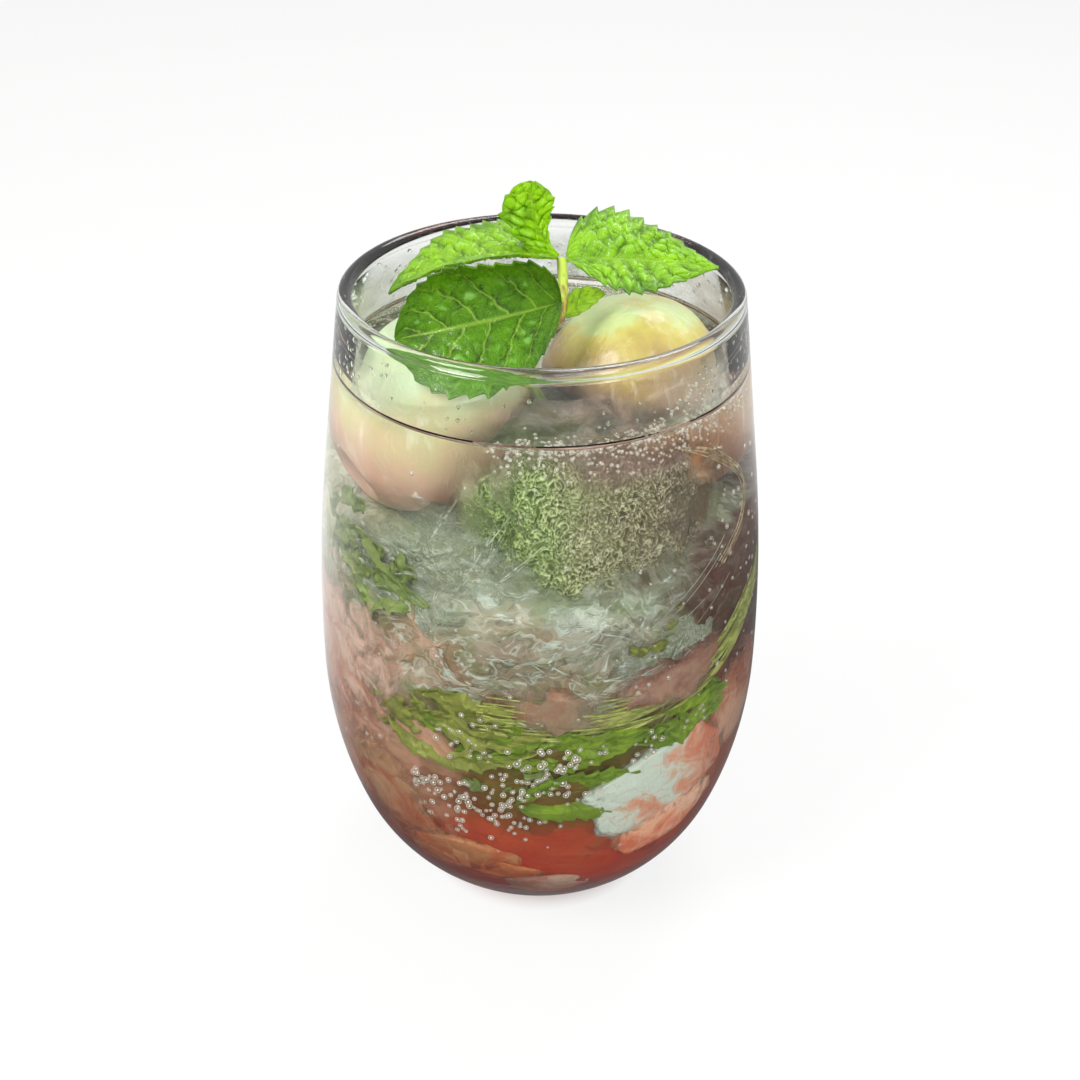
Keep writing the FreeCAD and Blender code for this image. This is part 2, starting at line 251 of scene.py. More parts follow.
# one material; "colour" is built up layer by layer, and done() writes it and the rest
class Finish(Nodes):
    def __init__(self, name):
        self.material = bpy.data.materials.new(name)
        self.material.use_nodes = True
        super().__init__(self.material.node_tree)
        self.base = self.tree.nodes["Principled BSDF"]
        self.output = self.tree.nodes["Material Output"]
        self.place = self.add("TexCoord", {})["Object"]

    def ownMap(self):
        return self.add("UVMap", {})["UV"]

    def attribute(self, name):
        return self.add("Attribute", {}, attribute_name=name)["Fac"]

    def paint(self, share, colour):
        self.colour = self.blend(share, self.colour, colour)

    def emboss(self, height, strength, distance):
        bump = self.add("Bump", {"Height": height, "Strength": strength, "Distance": distance})
        self.feed(self.base, {"Normal": bump["Normal"]})

    # fades a lump out towards its edges, from start to end of its reach, raggedly
    def melt(self, start, end, ragged=0.2, scale=170.0):
        reach = self.sway(self.attribute("reach"), self.cloud(scale, 4.0, 0.65, 1.0), ragged)
        self.feed(self.base, {"Alpha": self.span(reach, start, end, 1.0, 0.0)})

    # lamps shine through a clear piece as through a clear pane
    def letLampsIn(self, share, colour=(1, 1, 1)):
        clear = self.add("BsdfTransparent", {"Color": (*[part * share for part in colour], 1)})
        shadow = self.add("LightPath", {})["Is Shadow Ray"]
        self.feed(self.output, {"Surface": self.mixShaders(shadow, self.base.outputs[0], clear[0])})

    def done(self, **values):
        values.setdefault("colour", getattr(self, "colour", None))
        for key, value in values.items():
            names = shaderInputs[key]
            self.feed(self.base, dict(zip(names, value if len(names) > 1 else [value])))
        return self.material


cameraView = {"place": (0.0, -0.2416, 0.2207), "looksAt": (0.0, 0.0, 0.0696), "roll": 0.48, "lens": 51.8}

lampValues = {
    "key": {"place": (-0.42, -0.28, 0.62), "width": 0.34, "watts": 3.3, "colour": (1.0, 0.98, 0.95)},
    "fill": {"place": (0.30, -0.62, 0.30), "width": 0.50, "watts": 3.0, "colour": (0.98, 0.99, 1.0),
             "mirrored": False},
    "back": {"place": (0.16, 0.34, 0.66), "width": 0.34, "watts": 2.0, "colour": (1.0, 1.0, 1.0)},
}

# "guided" is how bright what lies behind stays where light is led along inside the wall
worldValues = {"daylight": 0.6, "sides": 0.8, "sideStart": 0.80, "sideEnd": 0.97, "skyInGloss": 0.42,
               "floorInGloss": 0.16, "guided": 1.0}


def aim(item, place, target, roll=0.0):
    turn = (target - place).to_track_quat("-Z", "Y").to_matrix() @ Matrix.Rotation(math.radians(roll), 3, "Z")
    item.matrix_world = Matrix.Translation(place) @ turn.to_4x4()


def makeCamera():
    cameraData = bpy.data.cameras.new("camera")
    camera = bpy.data.objects.new("camera", cameraData)
    scene.collection.objects.link(camera)
    cameraData.lens = cameraView["lens"]
    cameraData.sensor_width = 36
    cameraData.clip_start = 0.01
    aim(camera, Vector(cameraView["place"]), Vector(cameraView["looksAt"]), cameraView["roll"])
    scene.camera = camera


def makeLamps():
    for name, values in lampValues.items():
        lampData = bpy.data.lights.new(name, "AREA")
        lampData.shape = "DISK"
        lampData.size = values["width"]
        lampData.energy = values["watts"]
        lampData.color = values["colour"]
        lamp = bpy.data.objects.new(name, lampData)
        scene.collection.objects.link(lamp)
        lamp.visible_glossy = values.get("mirrored", True)
        aim(lamp, Vector(values["place"]), Vector((0, 0, 0.06)))


# white to the eye and through glass, darker at the sides for the glass's edges, and dim where it is mirrored
def makeWorld():
    world = bpy.data.worlds.new("room")
    scene.world = world
    world.use_nodes = True
    room = Nodes(world.node_tree)
    room.tree.nodes.clear()
    path = room.add("LightPath", {})
    parts = room.split(room.add("TexCoord", {})["Generated"])
    values = worldValues
    through = room.span(room.size(parts["X"]), values["sideStart"], values["sideEnd"], 1.0, values["sides"])
    mirrored = room.span(parts["Y"], -0.2, 0.2, values["skyInGloss"], values["guided"])
    last = None
    for share, grey, strength in ((None, 0.8, values["daylight"]), (path["Is Transmission Ray"], 1.0, through),
                                  (path["Glossy Depth"], 0.8, mirrored), (path["Is Camera Ray"], 1.0, 1.0)):
        light = room.add("Background", {"Color": (grey, grey, grey, 1), "Strength": strength})[0]
        last = room.mixShaders(share, last, light) if last else light
    output = room.tree.nodes.new("ShaderNodeOutputWorld")
    room.feed(output, {"Surface": last})


def makeFloor():
    floor = addPiece("floor", bpy.ops.mesh.primitive_plane_add, size=6.0, location=(0, 0, -0.0002))
    finish = Finish("paperWhite")
    finish.colour = finish.blend(finish.cloud(40.0, 4.0), (246, 246, 245), (250, 250, 249))
    # painted caustic: the floor right under the foot is painted red, standing in for light through the syrup
    away = finish.add("VectorMath", {0: finish.place}, operation="LENGTH")["Value"]
    syrupCausticPaint = finish.span(away, 0.016, 0.024, 1.0, 0.0)
    finish.paint(syrupCausticPaint, (190, 84, 52))
    floor.data.materials.append(finish.done(rough=0.9, specular=0.0))
    # most of what the eye and glass see of the floor is plain white, and the rest keeps its shadow
    path = finish.add("LightPath", {})
    seen = finish.most(path["Is Camera Ray"], path["Is Transmission Ray"])
    plain = finish.add("Emission", {"Strength": 1.0})[0]
    share = finish.times(seen, 0.8, finish.minus(1.0, syrupCausticPaint))
    paper = finish.mixShaders(share, finish.base.outputs[0], plain)
    # where it is mirrored, in the wall or the drink, it is dimmer, or it would grey the drink
    spot = finish.split()
    ahead = finish.minus(spot["Y"], finish.span(spot["X"], 0.02, 0.07, 0.0, 0.11))
    strength = finish.span(ahead, 0.0, 0.08, worldValues["floorInGloss"], worldValues["guided"])
    mirrored = finish.add("Emission", {"Strength": strength})[0]
    depth = finish.sum("MINIMUM", path["Glossy Depth"], 1.0)
    finish.feed(finish.output, {"Surface": finish.mixShaders(depth, paper, mirrored)})


makeCamera()
makeLamps()
makeWorld()
makeFloor()
scene.view_settings.view_transform = "Standard"
scene.cycles.max_bounces = 24  # light crosses many walls of glass, drink and ice
scene.cycles.transmission_bounces = 24
scene.cycles.glossy_bounces = 16
scene.cycles.transparent_max_bounces = 24
print("camera, lamps and floor are set")


glassShape = {
    "height": glassHigh, "bellyRadius": 40.5, "bellyHeight": 48.3, "rimInset": 6.6,
    "straightWall": 31.7, "heelInset": 2.5, "footRadius": 18.0, "footRing": 5.0, "pushUp": 1.6,
    "wall": 1.7, "bead": 1.25, "base": 4.5, "floorCorner": 30.0, "lean": math.radians(7.286),
    "around": 160,
}


def arcPoints(centreX, centreZ, radius, start, end, count):
    return [(centreX + radius * math.cos(start + (end - start) * step / count),
             centreZ + radius * math.sin(start + (end - start) * step / count)) for step in range(1, count + 1)]


# radii and centres of the wall's arcs
def wallArcs():
    g = glassShape
    heelRadius = g["bellyRadius"] - g["heelInset"]
    heelHeight = math.sqrt(heelRadius ** 2 - g["footRadius"] ** 2)
    drop = g["bellyHeight"] - heelHeight
    lowerRadius = (g["bellyRadius"] ** 2 + drop ** 2 - heelRadius ** 2) / (2 * g["heelInset"])
    lowerCentre = g["bellyRadius"] - lowerRadius
    upperRadius = (g["height"] - g["straightWall"] - g["bellyHeight"]) / math.sin(g["lean"])
    return {"heelRadius": heelRadius, "heelHeight": heelHeight, "lowerRadius": lowerRadius,
            "lowerCentre": lowerCentre, "upperRadius": upperRadius,
            "upperCentre": g["bellyRadius"] - upperRadius,
            "heelAngle": math.atan2(drop, lowerCentre) - math.pi}


arcs = wallArcs()


# the inner wall's radius at a height, "depth" further in
def boreRadius(height, depth=0.0):
    g = glassShape
    inset = g["wall"] + depth
    if height > g["height"] - g["straightWall"]:
        outer = g["bellyRadius"] - g["rimInset"] + (g["height"] - height) * math.tan(g["lean"])
        return outer - inset / math.cos(g["lean"])
    rise = height - g["bellyHeight"]
    if rise > 0:
        return arcs["upperCentre"] + math.sqrt((arcs["upperRadius"] - inset) ** 2 - rise ** 2)
    bow = arcs["lowerRadius"] - inset
    corner = g["floorCorner"] - depth
    cornerDrop = g["bellyHeight"] - g["base"] - g["floorCorner"]
    reach = arcs["lowerRadius"] - g["wall"] - g["floorCorner"]
    cornerX = arcs["lowerCentre"] + math.sqrt(reach ** 2 - cornerDrop ** 2)
    cornerAngle = math.atan2(-cornerDrop, cornerX - arcs["lowerCentre"])
    if height > g["bellyHeight"] + bow * math.sin(cornerAngle):
        return arcs["lowerCentre"] + math.sqrt(bow ** 2 - rise ** 2)
    sink = g["base"] + g["floorCorner"] - height
    return cornerX + math.sqrt(max(corner ** 2 - sink ** 2, 0.0))


# "steps" heights from low to high, closest together at the low end
def closeHeights(low, high, steps=70):
    return [low + (high - low) * (step / steps) ** 1.35 for step in range(steps + 1)]


# points down the inner wall from a height to the floor's middle, "depth" inside it
def borePoints(top, depth):
    floor = glassShape["base"] + depth
    points = [(boreRadius(height, depth), height) for height in reversed(closeHeights(floor, top))]
    return points + [(points[-1][0] * share, floor) for share in (0.7, 0.4, 0.0)]


# a round shell: its section is drawn out point by point, then spun about the axis
def spinShell(name, section, around):
    shell = addPiece(name, bpy.ops.mesh.primitive_plane_add, size=0.001,
                     location=(section[0][0] * mm, 0, section[0][1] * mm))
    bpy.ops.object.mode_set(mode="EDIT")
    bpy.ops.mesh.select_mode(type="VERT")
    bpy.ops.mesh.select_all(action="SELECT")
    bpy.ops.mesh.merge(type="CENTER")
    for near, far in zip(section, section[1:]):
        step = ((far[0] - near[0]) * mm, 0, (far[1] - near[1]) * mm)
        bpy.ops.mesh.extrude_region_move(TRANSFORM_OT_translate={"value": step})
    bpy.ops.mesh.select_all(action="SELECT")
    bpy.ops.mesh.spin(steps=around, angle=2 * math.pi, center=(0, 0, 0), axis=(0, 0, 1))
    bpy.ops.mesh.select_all(action="SELECT")
    bpy.ops.mesh.remove_doubles(threshold=0.000002)
    bpy.ops.mesh.normals_make_consistent(inside=False)
    bpy.ops.object.mode_set(mode="OBJECT")
    settle(shell)
    smooth(shell)
    return shell


def glassSection():
    g = glassShape
    ring = g["footRadius"] - g["footRing"]
    hollow = (ring ** 2 + g["pushUp"] ** 2) / (2 * g["pushUp"])
    section = [(0.0, g["pushUp"])]
    section += arcPoints(0, g["pushUp"] - hollow, hollow, math.pi / 2, math.atan2(hollow - g["pushUp"], ring), 8)
    section += [(ring + 0.4, 0.0), (g["footRadius"] - 0.3, 0.0)]
    footAngle = math.atan2(-arcs["heelHeight"], g["footRadius"])
    section += arcPoints(0, arcs["heelHeight"], arcs["heelRadius"], footAngle, arcs["heelAngle"], 26)
    section += arcPoints(arcs["lowerCentre"], g["bellyHeight"], arcs["lowerRadius"], arcs["heelAngle"], 0, 22)
    section += arcPoints(arcs["upperCentre"], g["bellyHeight"], arcs["upperRadius"], 0, g["lean"], 12)
    beadX = g["bellyRadius"] - g["rimInset"] + g["bead"] * math.tan(g["lean"]) - g["bead"] / math.cos(g["lean"])
    turnIn = math.pi + g["lean"] + math.acos((g["wall"] - g["bead"]) / g["bead"])
    section += arcPoints(beadX, g["height"] - g["bead"], g["bead"], g["lean"], turnIn, 18)
    return section + borePoints(section[-1][1] - 0.6, 0.0)


def clearGlass():
    finish = Finish("clearGlass")
    smear = finish.cloud(60.0, 5.0, stretch=(1, 1, 0.4))
    finish.letLampsIn(0.93, (0.97, 1.0, 0.98))
    return finish.done(colour=(0.972, 0.988, 0.968, 1), rough=finish.span(smear, 0.45, 0.8, 0.0, 0.03), ior=1.5,
                       clear=1.0)


glass = spinShell("tumbler", glassSection(), glassShape["around"])
dress(glass, clearGlass(), "clear_glass", "glass")
print("glass spun")


drinkShape = {"intoWall": 0.15, "creep": 1.5, "creepWidth": 2.6, "around": 128}


# the drink creeps up the wall at its edge
def drinkSection():
    d = drinkShape
    edge = []
    for step in range(9):
        share = step / 8
        height = level + d["creep"] * (1 - share) ** 2.2
        edge.append((boreRadius(height, -d["intoWall"]) - d["creepWidth"] * share ** 1.3, height))
    inner = edge[-1][0]
    section = [(inner * share, level) for share in (0.0, 0.3, 0.6, 0.85, 0.96, 0.985, 0.995)] + edge[::-1]
    return section + borePoints(level + d["creep"] - 0.05, -d["intoWall"])


def clearFizz():
    finish = Finish("clearFizz")
    finish.emboss(finish.cloud(90.0, 3.0), 0.15, 0.0006)
    finish.letLampsIn(0.97, (1.0, 0.99, 0.97))
    return finish.done(colour=(1.0, 0.99, 0.975, 1), rough=0.0, ior=1.33, specular=0.0, clear=1.0)


fizz = spinShell("fizz", drinkSection(), drinkShape["around"])
dress(fizz, clearFizz(), "fizz", "drink")
print("drink poured")


lycheeShape = {
    "mouth": 5.4, "lump": 1.3, "lumpScale": 0.014, "fold": 0.5, "foldScale": 0.005,
    "mouthSteps": ((0.25, 0.94), (0.7, 0.84), (1.2, 0.9), (1.4, 0.9), (1.4, 0.8)),
    # painted shade: the right one's stops are darker low down, where the rim and mint shade it
    "right": {"heading": 212.0, "climb": 6.0, "stops": [
        (0.0, (150, 110, 98)), (0.26, (158, 120, 104)), (0.46, (176, 144, 120)), (0.60, (178, 152, 116)),
        (0.71, (182, 154, 104)), (0.84, (202, 184, 106)), (0.92, (218, 206, 118)), (1.0, (218, 232, 164))]},
    # painted light: the left one's low stops are lightened against the shade under it
    "left": {"heading": 205.0, "climb": -38.0, "stops": [
        (0.0, (240, 196, 176)), (0.26, (228, 182, 162)), (0.44, (220, 186, 160)), (0.62, (206, 194, 150)),
        (0.8, (200, 214, 176)), (1.0, (202, 224, 186))]},
}


# a step of one in a heading, climbing, both in degrees
def facing(heading, climb):
    heading, climb = math.radians(heading), math.radians(climb)
    return Vector((math.cos(climb) * math.cos(heading), math.cos(climb) * math.sin(heading), math.sin(climb)))


# flesh whose colour follows the height, with pale streaks and threads in it; the height's low stops carry
# painted shade on the right lychee and painted light on the left one
def lycheeFlesh(name, stops):
    finish = Finish(name)
    height = finish.span(finish.split()["Z"], 0.083, 0.116)
    finish.colour = finish.ramp(finish.sway(height, finish.cloud(75.0, 4.0), 0.16), stops)
    strands = finish.cloud(300.0, 5.0, 0.62, 0.8, stretch=(1.0, 1.0, 0.2), turn=(0.4, 0.7, 0))
    finish.paint(finish.times(finish.span(strands, 0.55, 0.66), 0.30), (246, 242, 230))
    thread = finish.lines(finish.cloud(65.0, 3.0, 0.5, 2.5), 0.002, 0.012)
    finish.paint(finish.times(thread, 0.10), (250, 246, 232))
    weave = finish.plus(strands, finish.times(finish.cloud(900.0, 3.0), 0.12))
    finish.emboss(weave, 0.35, 0.0012)
    return finish.done(rough=0.34, coat=(0.3, 0.12), soft=(0.35, (1.0, 0.8, 0.55), 0.004))


def makeLychee(side):
    values = lycheeShape[side]
    low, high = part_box("lychee_" + side)
    lychee = addPiece("lychee" + side.capitalize(), bpy.ops.mesh.primitive_uv_sphere_add, segments=64,
                      ring_count=44, radius=(high.x - low.x) / 2)
    # the stone's hole: the cap round the pole is pushed in, step by step
    pickFaces(lychee, lambda face: face.center.xy.length < lycheeShape["mouth"] * mm and face.center.z > 0)
    for sink, narrow in lycheeShape["mouthSteps"]:
        bpy.ops.mesh.extrude_region_move(TRANSFORM_OT_translate={"value": (0, 0, -sink * mm)})
        bpy.ops.transform.resize(value=(narrow, narrow, 1), center_override=(0, 0, 0))
    bpy.ops.object.mode_set(mode="OBJECT")
    turn = facing(values["heading"], values["climb"]).to_track_quat("Z", "Y").to_matrix().to_4x4()
    lychee.data.transform(Matrix.Translation((low + high) / 2) @ turn)
    roughen(lychee, lycheeShape["lump"] * mm, lycheeShape["lumpScale"])
    roughen(lychee, lycheeShape["fold"] * mm, lycheeShape["foldScale"], 1)
    modify(lychee, "SUBSURF", levels=1, render_levels=1)
    smooth(lychee)
    finish = lycheeFlesh("lychee" + side.capitalize(), values["stops"])
    dress(lychee, finish, "lychee_flesh", "lychee_" + side)


makeLychee("right")
makeLychee("left")
print("lychees peeled")


bladeNames = "climb tipClimb roll twist length fullness fold left right veins quilt"

# each leaf's midrib starts at a joint of the stem; angles in degrees
leafShapes = named("joint heading swerve " + bladeNames + " ragged teeth curl", {
    "Front": (1, 223.5, -71.8, 3.3, -23.5, -57.9, 8.4, 29.6, 0.70, 13.0, (13.2, 0.58, 0.0), (11.2, 0.45, 45.0),
              6, 0.55, 0.08, 0.5, (0, 34)),
    "Left": (0, 188.4, -3.0, 14.8, -35.4, 3.5, 0.8, 29.1, 0.75, 11.0, (6.0, 0.42, 5.0), (11.2, 0.42, 1.0),
             8, 0.9, 0.10),
    "Top": (0, 150.9, 0.0, 34.0, 101.3, -65.5, -0.9, 13.5, 0.66, 8.2, (5.3, 0.65, -12.3), (4.1, 0.77, 5.4),
            7, 0.9, 0.14),
    "Right": (0, -3.2, -16.4, 2.9, 0.4, 42.0, -14.0, 25.0, 1.00, 4.9, (10.8, 0.24, -30.0), (7.0, 0.49, 13.0),
              8, 0.9, 0.12),
    "Small": (2, 41.0, 0.0, 23.7, 0.0, 43.9, 0.0, 8.8, 0.65, 12.0, (2.6, 0.42, 5.0), (1.4, 0.42, 5.0), 5, 0.2),
})

# dark, light, the veins' colour and how much of it shows
leafColours = {
    "Front": ((40, 88, 0), (88, 144, 0), (160, 200, 66), 0.5),
    "Left": ((66, 126, 0), (150, 208, 0), (180, 220, 44), 0.4),
    "Top": ((74, 136, 0), (160, 222, 4), (190, 232, 50), 0.4),
    "Right": ((72, 130, 0), (150, 210, 26), (176, 226, 66), 0.35),
    "Small": ((110, 170, 14), (170, 218, 40), (200, 230, 80), 0.5),
}

leafMake = {"rows": 110, "columns": 64, "thickness": 0.35, "toothPitch": 2.3, "toothDepth": 0.075, "stalk": 0.85,
            "narrowest": 0.3, "ruffle": 0.5, "pillow": 2.1, "curlFrom": 0.66}

# the stem's line: beside the glass's axis, and above the drink's surface
stemLine = [(3.2, -0.2, 18.0), (3.7, -6.2, 13.2), (3.2, -7.2, 10.4), (-0.2, -8.6, 8.4), (-3.2, -10.8, 4.8),
            (-2.5, -12.9, 0.4), (1.0, -13.0, -9.2), (2.0, -12.6, -16.2)]
stemPlaces = [Vector((x, y, level + rise)) for x, y, rise in stemLine]


# "along" goes from the stalk to the tip, 0 to 1, and "across" from the right edge to the left one, -1 to 1
class LeafBlade:
    def __init__(self, shape):
        self.shape = shape
        root = stemPlaces[shape["joint"]] if "joint" in shape else shape["root"]
        self.ribs = [root + self.ahead(0) * leafMake["stalk"]]
        steps = leafMake["rows"]
        for step in range(steps):
            self.ribs.append(self.ribs[-1] + self.ahead((step + 0.5) / steps) * (shape["length"] / steps))

    def way(self, along):
        shape = self.shape
        return (shape["heading"] + shape["swerve"] * along,
                shape["climb"] + (shape["tipClimb"] - shape["climb"]) * along)

    def ahead(self, along):
        return facing(*self.way(along))

    def halfWidth(self, along, side):
        width, widest = self.shape[side][:2]
        length = self.shape["length"]
        bow = math.log(0.5) / math.log(widest)
        swell = math.sin(math.pi * min(max(along, 0.001), 0.999) ** bow) ** self.shape["fullness"]
        saw = (round(length / leafMake["toothPitch"]) * along) % 1.0
        tooth = leafMake["toothDepth"] * self.shape.get("teeth", 1.0) * (2 * saw ** 1.5 - 1)
        spot = Vector((along * 7, 3.0 if side == "left" else 8.0, length))
        uneven = self.shape.get("ragged", 0.0) * noise.noise(spot)
        return max(width * swell * (1 + tooth + uneven), leafMake["narrowest"])

    # how far the blade puffs up between its veins
    def puff(self, along, across):
        side = abs(across)
        length = self.shape["length"]
        phase = self.shape["veins"] * along - 1.7 * side ** 1.15 + (0.45 if across > 0 else 0.0)
        between = abs(math.sin(math.pi * phase)) ** 0.6
        width = self.shape["left" if across > 0 else "right"][0]
        spot = Vector((along * length, across * width + 0.35 * along * length, length))
        spot += noise.noise_vector(spot * 0.4) * 0.9
        gaps = noise.voronoi(spot / leafMake["pillow"])[0]
        pillow = min((gaps[1] - gaps[0]) * 1.7, 1.0) ** 0.7  # the small net between the veins
        edge = (1 - side ** 6) * math.sin(math.pi * min(1.0, side * 4) / 2)
        return (0.55 * between + 0.75 * pillow - 0.55) * edge * math.sin(math.pi * along) ** 0.4

    def spot(self, along, across):
        shape = self.shape
        heading = math.radians(self.way(along)[0])
        flat = Vector((-math.sin(heading), math.cos(heading), 0))
        up = self.ahead(along).cross(flat)
        roll = math.radians(shape["roll"] + shape["twist"] * along)
        outward = flat * math.cos(roll) + up * math.sin(roll)
        normal = up * math.cos(roll) - flat * math.sin(roll)
        side, sign = ("left", 1) if across > 0 else ("right", -1)
        half = self.halfWidth(along, side)
        fold = math.radians(shape["fold"])
        middle = (fold + (fold + math.radians(shape[side][2]) * abs(across))) / 2
        row = min(int(round(along * leafMake["rows"])), leafMake["rows"])
        place = self.ribs[row] + outward * (sign * half * abs(across) * math.cos(middle))
        place += normal * (half * abs(across) * math.sin(middle))
        # the edge curls up further
        curl = math.radians(shape.get("curl", (0, 0))[0 if across > 0 else 1])
        curl *= math.sin(math.pi * min(along * 1.25, 1.0))
        spare = half * max(abs(across) - leafMake["curlFrom"], 0.0)
        place += outward * (sign * spare * (math.cos(middle + curl) - math.cos(middle)))
        place += normal * (spare * (math.sin(middle + curl) - math.sin(middle)))
        length = shape["length"]
        wave = noise.noise(Vector((along * 5.5, 4 * sign, length * 3))) * abs(across) ** 3
        crumple = shape.get("crumple", 0.0) * noise.noise(Vector((along * 4.0, across * 2.2, length * 7)))
        return place + normal * (shape["quilt"] * self.puff(along, across) + leafMake["ruffle"] * wave + crumple)


def makeLeaf(name, shape, finish, *replaced):
    leaf = addGrid("mint" + name, leafMake["rows"], leafMake["columns"])
    blade = LeafBlade(shape)
    # the finish reads this attribute, so its net of painted highlights on the puffs and painted shade in the
    # hollows lies in the folds
    puff = leaf.data.attributes.new("puff", "FLOAT", "POINT")
    for vertex, swell in zip(leaf.data.vertices, puff.data):
        along, across = (vertex.co.x + 1) / 2, vertex.co.y
        swell.value = blade.puff(along, across)
        vertex.co = blade.spot(along, across) * mm
    modify(leaf, "SOLIDIFY", thickness=leafMake["thickness"] * mm, offset=0)
    smooth(leaf, 60)
    dress(leaf, finish, "mint_leaf", *replaced)
    return leaf


# veins, quilted relief and colour of a mint leaf, on the leaf's own map, with painted highlights on the puffs
# and painted shade in the hollows
def mintFinish(name, veins, dark, light, veinColour, veinShow, puffShading=1.0):
    finish = Finish(name)
    leafMap = finish.ownMap()
    parts = finish.split(leafMap)
    across = finish.minus(finish.times(parts["Y"], 2.0), 1.0)
    side = finish.size(across)
    bend = finish.times(finish.sum("POWER", side, 1.15), 1.7)
    left = finish.times(finish.sum("GREATER_THAN", across, 0.0), 0.45)
    phase = finish.plus(finish.minus(finish.times(parts["X"], float(veins)), bend), left)
    phase = finish.sway(phase, finish.cloud(6.0, 2.0, source=leafMap), 0.12)
    ripple = finish.size(finish.sum("SINE", finish.times(phase, math.pi)))
    vein = finish.times(finish.span(ripple, 0.05, 0.22, 1.0, 0.0), finish.span(side, 0.35, 0.95, 1.0, 0.35))
    vein = finish.most(vein, finish.span(side, 0.012, 0.05, 1.0, 0.0))
    fine = finish.cells(finish.mapped(leafMap, (52.0, 34.0, 1.0)), 1.0, True)
    net = finish.span(fine, 0.0, 0.14, 1.0, 0.0)
    patch = finish.cloud(160.0, 4.0)
    puff = finish.attribute("puff")
    finish.colour = finish.blend(finish.span(patch, 0.3, 0.7), dark, light)
    # painted highlights on the puffs, bluish-white at their tops, and painted shade in the hollows between them
    finish.paint(finish.span(puff, -0.05, 0.55, 0.0, 0.7 * puffShading), light)
    finish.paint(finish.span(puff, -0.30, 0.14, 0.8 * puffShading, 0.0), tuple(part * 0.5 for part in dark))
    finish.paint(finish.span(puff, 0.42, 0.68, 0.0, 0.4 * puffShading), (168, 226, 128))
    finish.paint(finish.times(net, 0.12), veinColour)
    finish.paint(finish.times(vein, veinShow), veinColour)
    finish.emboss(finish.minus(finish.times(patch, 0.6), finish.times(net, 0.5)), 0.6, 0.0003)
    return finish.done(rough=0.34, specular=0.35, coat=(0.25, 0.18), soft=(0.10, (0.5, 1.0, 0.15), 0.0010))


def stalkFinish():
    finish = Finish("mintStalk")
    streak = finish.cloud(900.0, 3.0, stretch=(1, 1, 0.12))
    height = finish.sway(finish.span(finish.split()["Z"], 0.106, 0.124), streak, 0.2)
    finish.colour = finish.ramp(height, [(0.0, (150, 175, 95)), (0.35, (140, 120, 70)), (0.6, (150, 105, 60)),
                                         (0.9, (190, 215, 80))])
    finish.emboss(streak, 0.5, 0.0003)
    return finish.done(rough=0.4)


# a round strand along smooth points, "thin" times as thick at its end, as a mesh
def makeStrand(name, points, radius, thin=1.0, resolution=6):
    line = bpy.data.curves.new(name, "CURVE")
    line.dimensions = "3D"
    line.bevel_depth = radius * mm
    line.bevel_resolution = 2
    line.use_fill_caps = True
    spline = line.splines.new("NURBS")
    spline.points.add(len(points) - 1)
    for index, (slot, place) in enumerate(zip(spline.points, points)):
        slot.co = (*(place * mm), 1.0)
        slot.radius = 1.0 + (thin - 1.0) * index / (len(points) - 1)
    spline.use_endpoint_u = True
    spline.order_u = 4
    spline.resolution_u = resolution
    strand = bpy.data.objects.new(name, line)
    scene.collection.objects.link(strand)
    pickOnly(strand)
    bpy.ops.object.convert(target="MESH")
    strand = bpy.context.object
    smooth(strand)
    return strand


for name, shape in leafShapes.items():
    finish = mintFinish("mint" + name, shape["veins"], *leafColours[name])
    makeLeaf(name, shape, finish, "mint_leaf_" + name.lower())
stem = makeStrand("mintStem", stemPlaces, 0.85, 1.0, 12)
dress(stem, stalkFinish(), "mint_stalk", "mint_stem")
print("mint picked")


# a spot beside the glass's wall: turn in degrees round the axis, and how high and how deep it lies
def wallSpot(turn, height, depth):
    reach = boreRadius(height, depth)
    turn = math.radians(turn)
    return Vector((reach * math.cos(turn), reach * math.sin(turn), height))


# draws in whatever would come nearer to the wall than the gap
def keepInside(piece, gap=0.4):
    lowest = glassShape["base"] + gap
    for vertex in piece.data.vertices:
        reach = boreRadius(max(vertex.co.z / mm, lowest + 0.1), gap) * mm
        across = vertex.co.xy.length
        if across > reach:
            vertex.co.x *= reach / across
            vertex.co.y *= reach / across
        vertex.co.z = min(max(vertex.co.z, lowest * mm), (level - 0.3) * mm)


# what can't be seen through: crushed ice and pulp above, syrup below
murkShape = {"depth": 2.2, "lowDepth": 0.7, "deepFrom": 34.0, "top": 87.0, "shoulder": 74.0, "lump": 3.0,
             "lumpScale": 0.010, "around": 144, "gap": 0.5}
murkColours = {
    "middle": [(0.06, (138, 22, 4)), (0.20, (168, 44, 14)), (0.31, (166, 64, 28)), (0.40, (112, 80, 26)),
               (0.50, (84, 84, 22)), (0.58, (130, 104, 76)), (0.66, (146, 126, 108)), (0.76, (148, 152, 130)),
               (0.86, (170, 176, 146)), (0.95, (138, 142, 108))],
    "left": [(0.06, (118, 24, 10)), (0.18, (144, 56, 36)), (0.30, (182, 128, 104)), (0.50, (202, 152, 132)),
             (0.62, (188, 144, 124)), (0.70, (126, 130, 90)), (0.80, (184, 180, 152)), (0.92, (180, 150, 128))],
    # the right ramp's dark middle stops are painted shade, for the dark surroundings seen through the drink on
    # that side
    "right": [(0.06, (112, 22, 8)), (0.20, (146, 50, 26)), (0.36, (160, 92, 64)), (0.47, (104, 58, 38)),
              (0.58, (74, 36, 26)), (0.74, (78, 44, 34)), (0.86, (82, 48, 38)), (0.97, (124, 90, 72))],
}


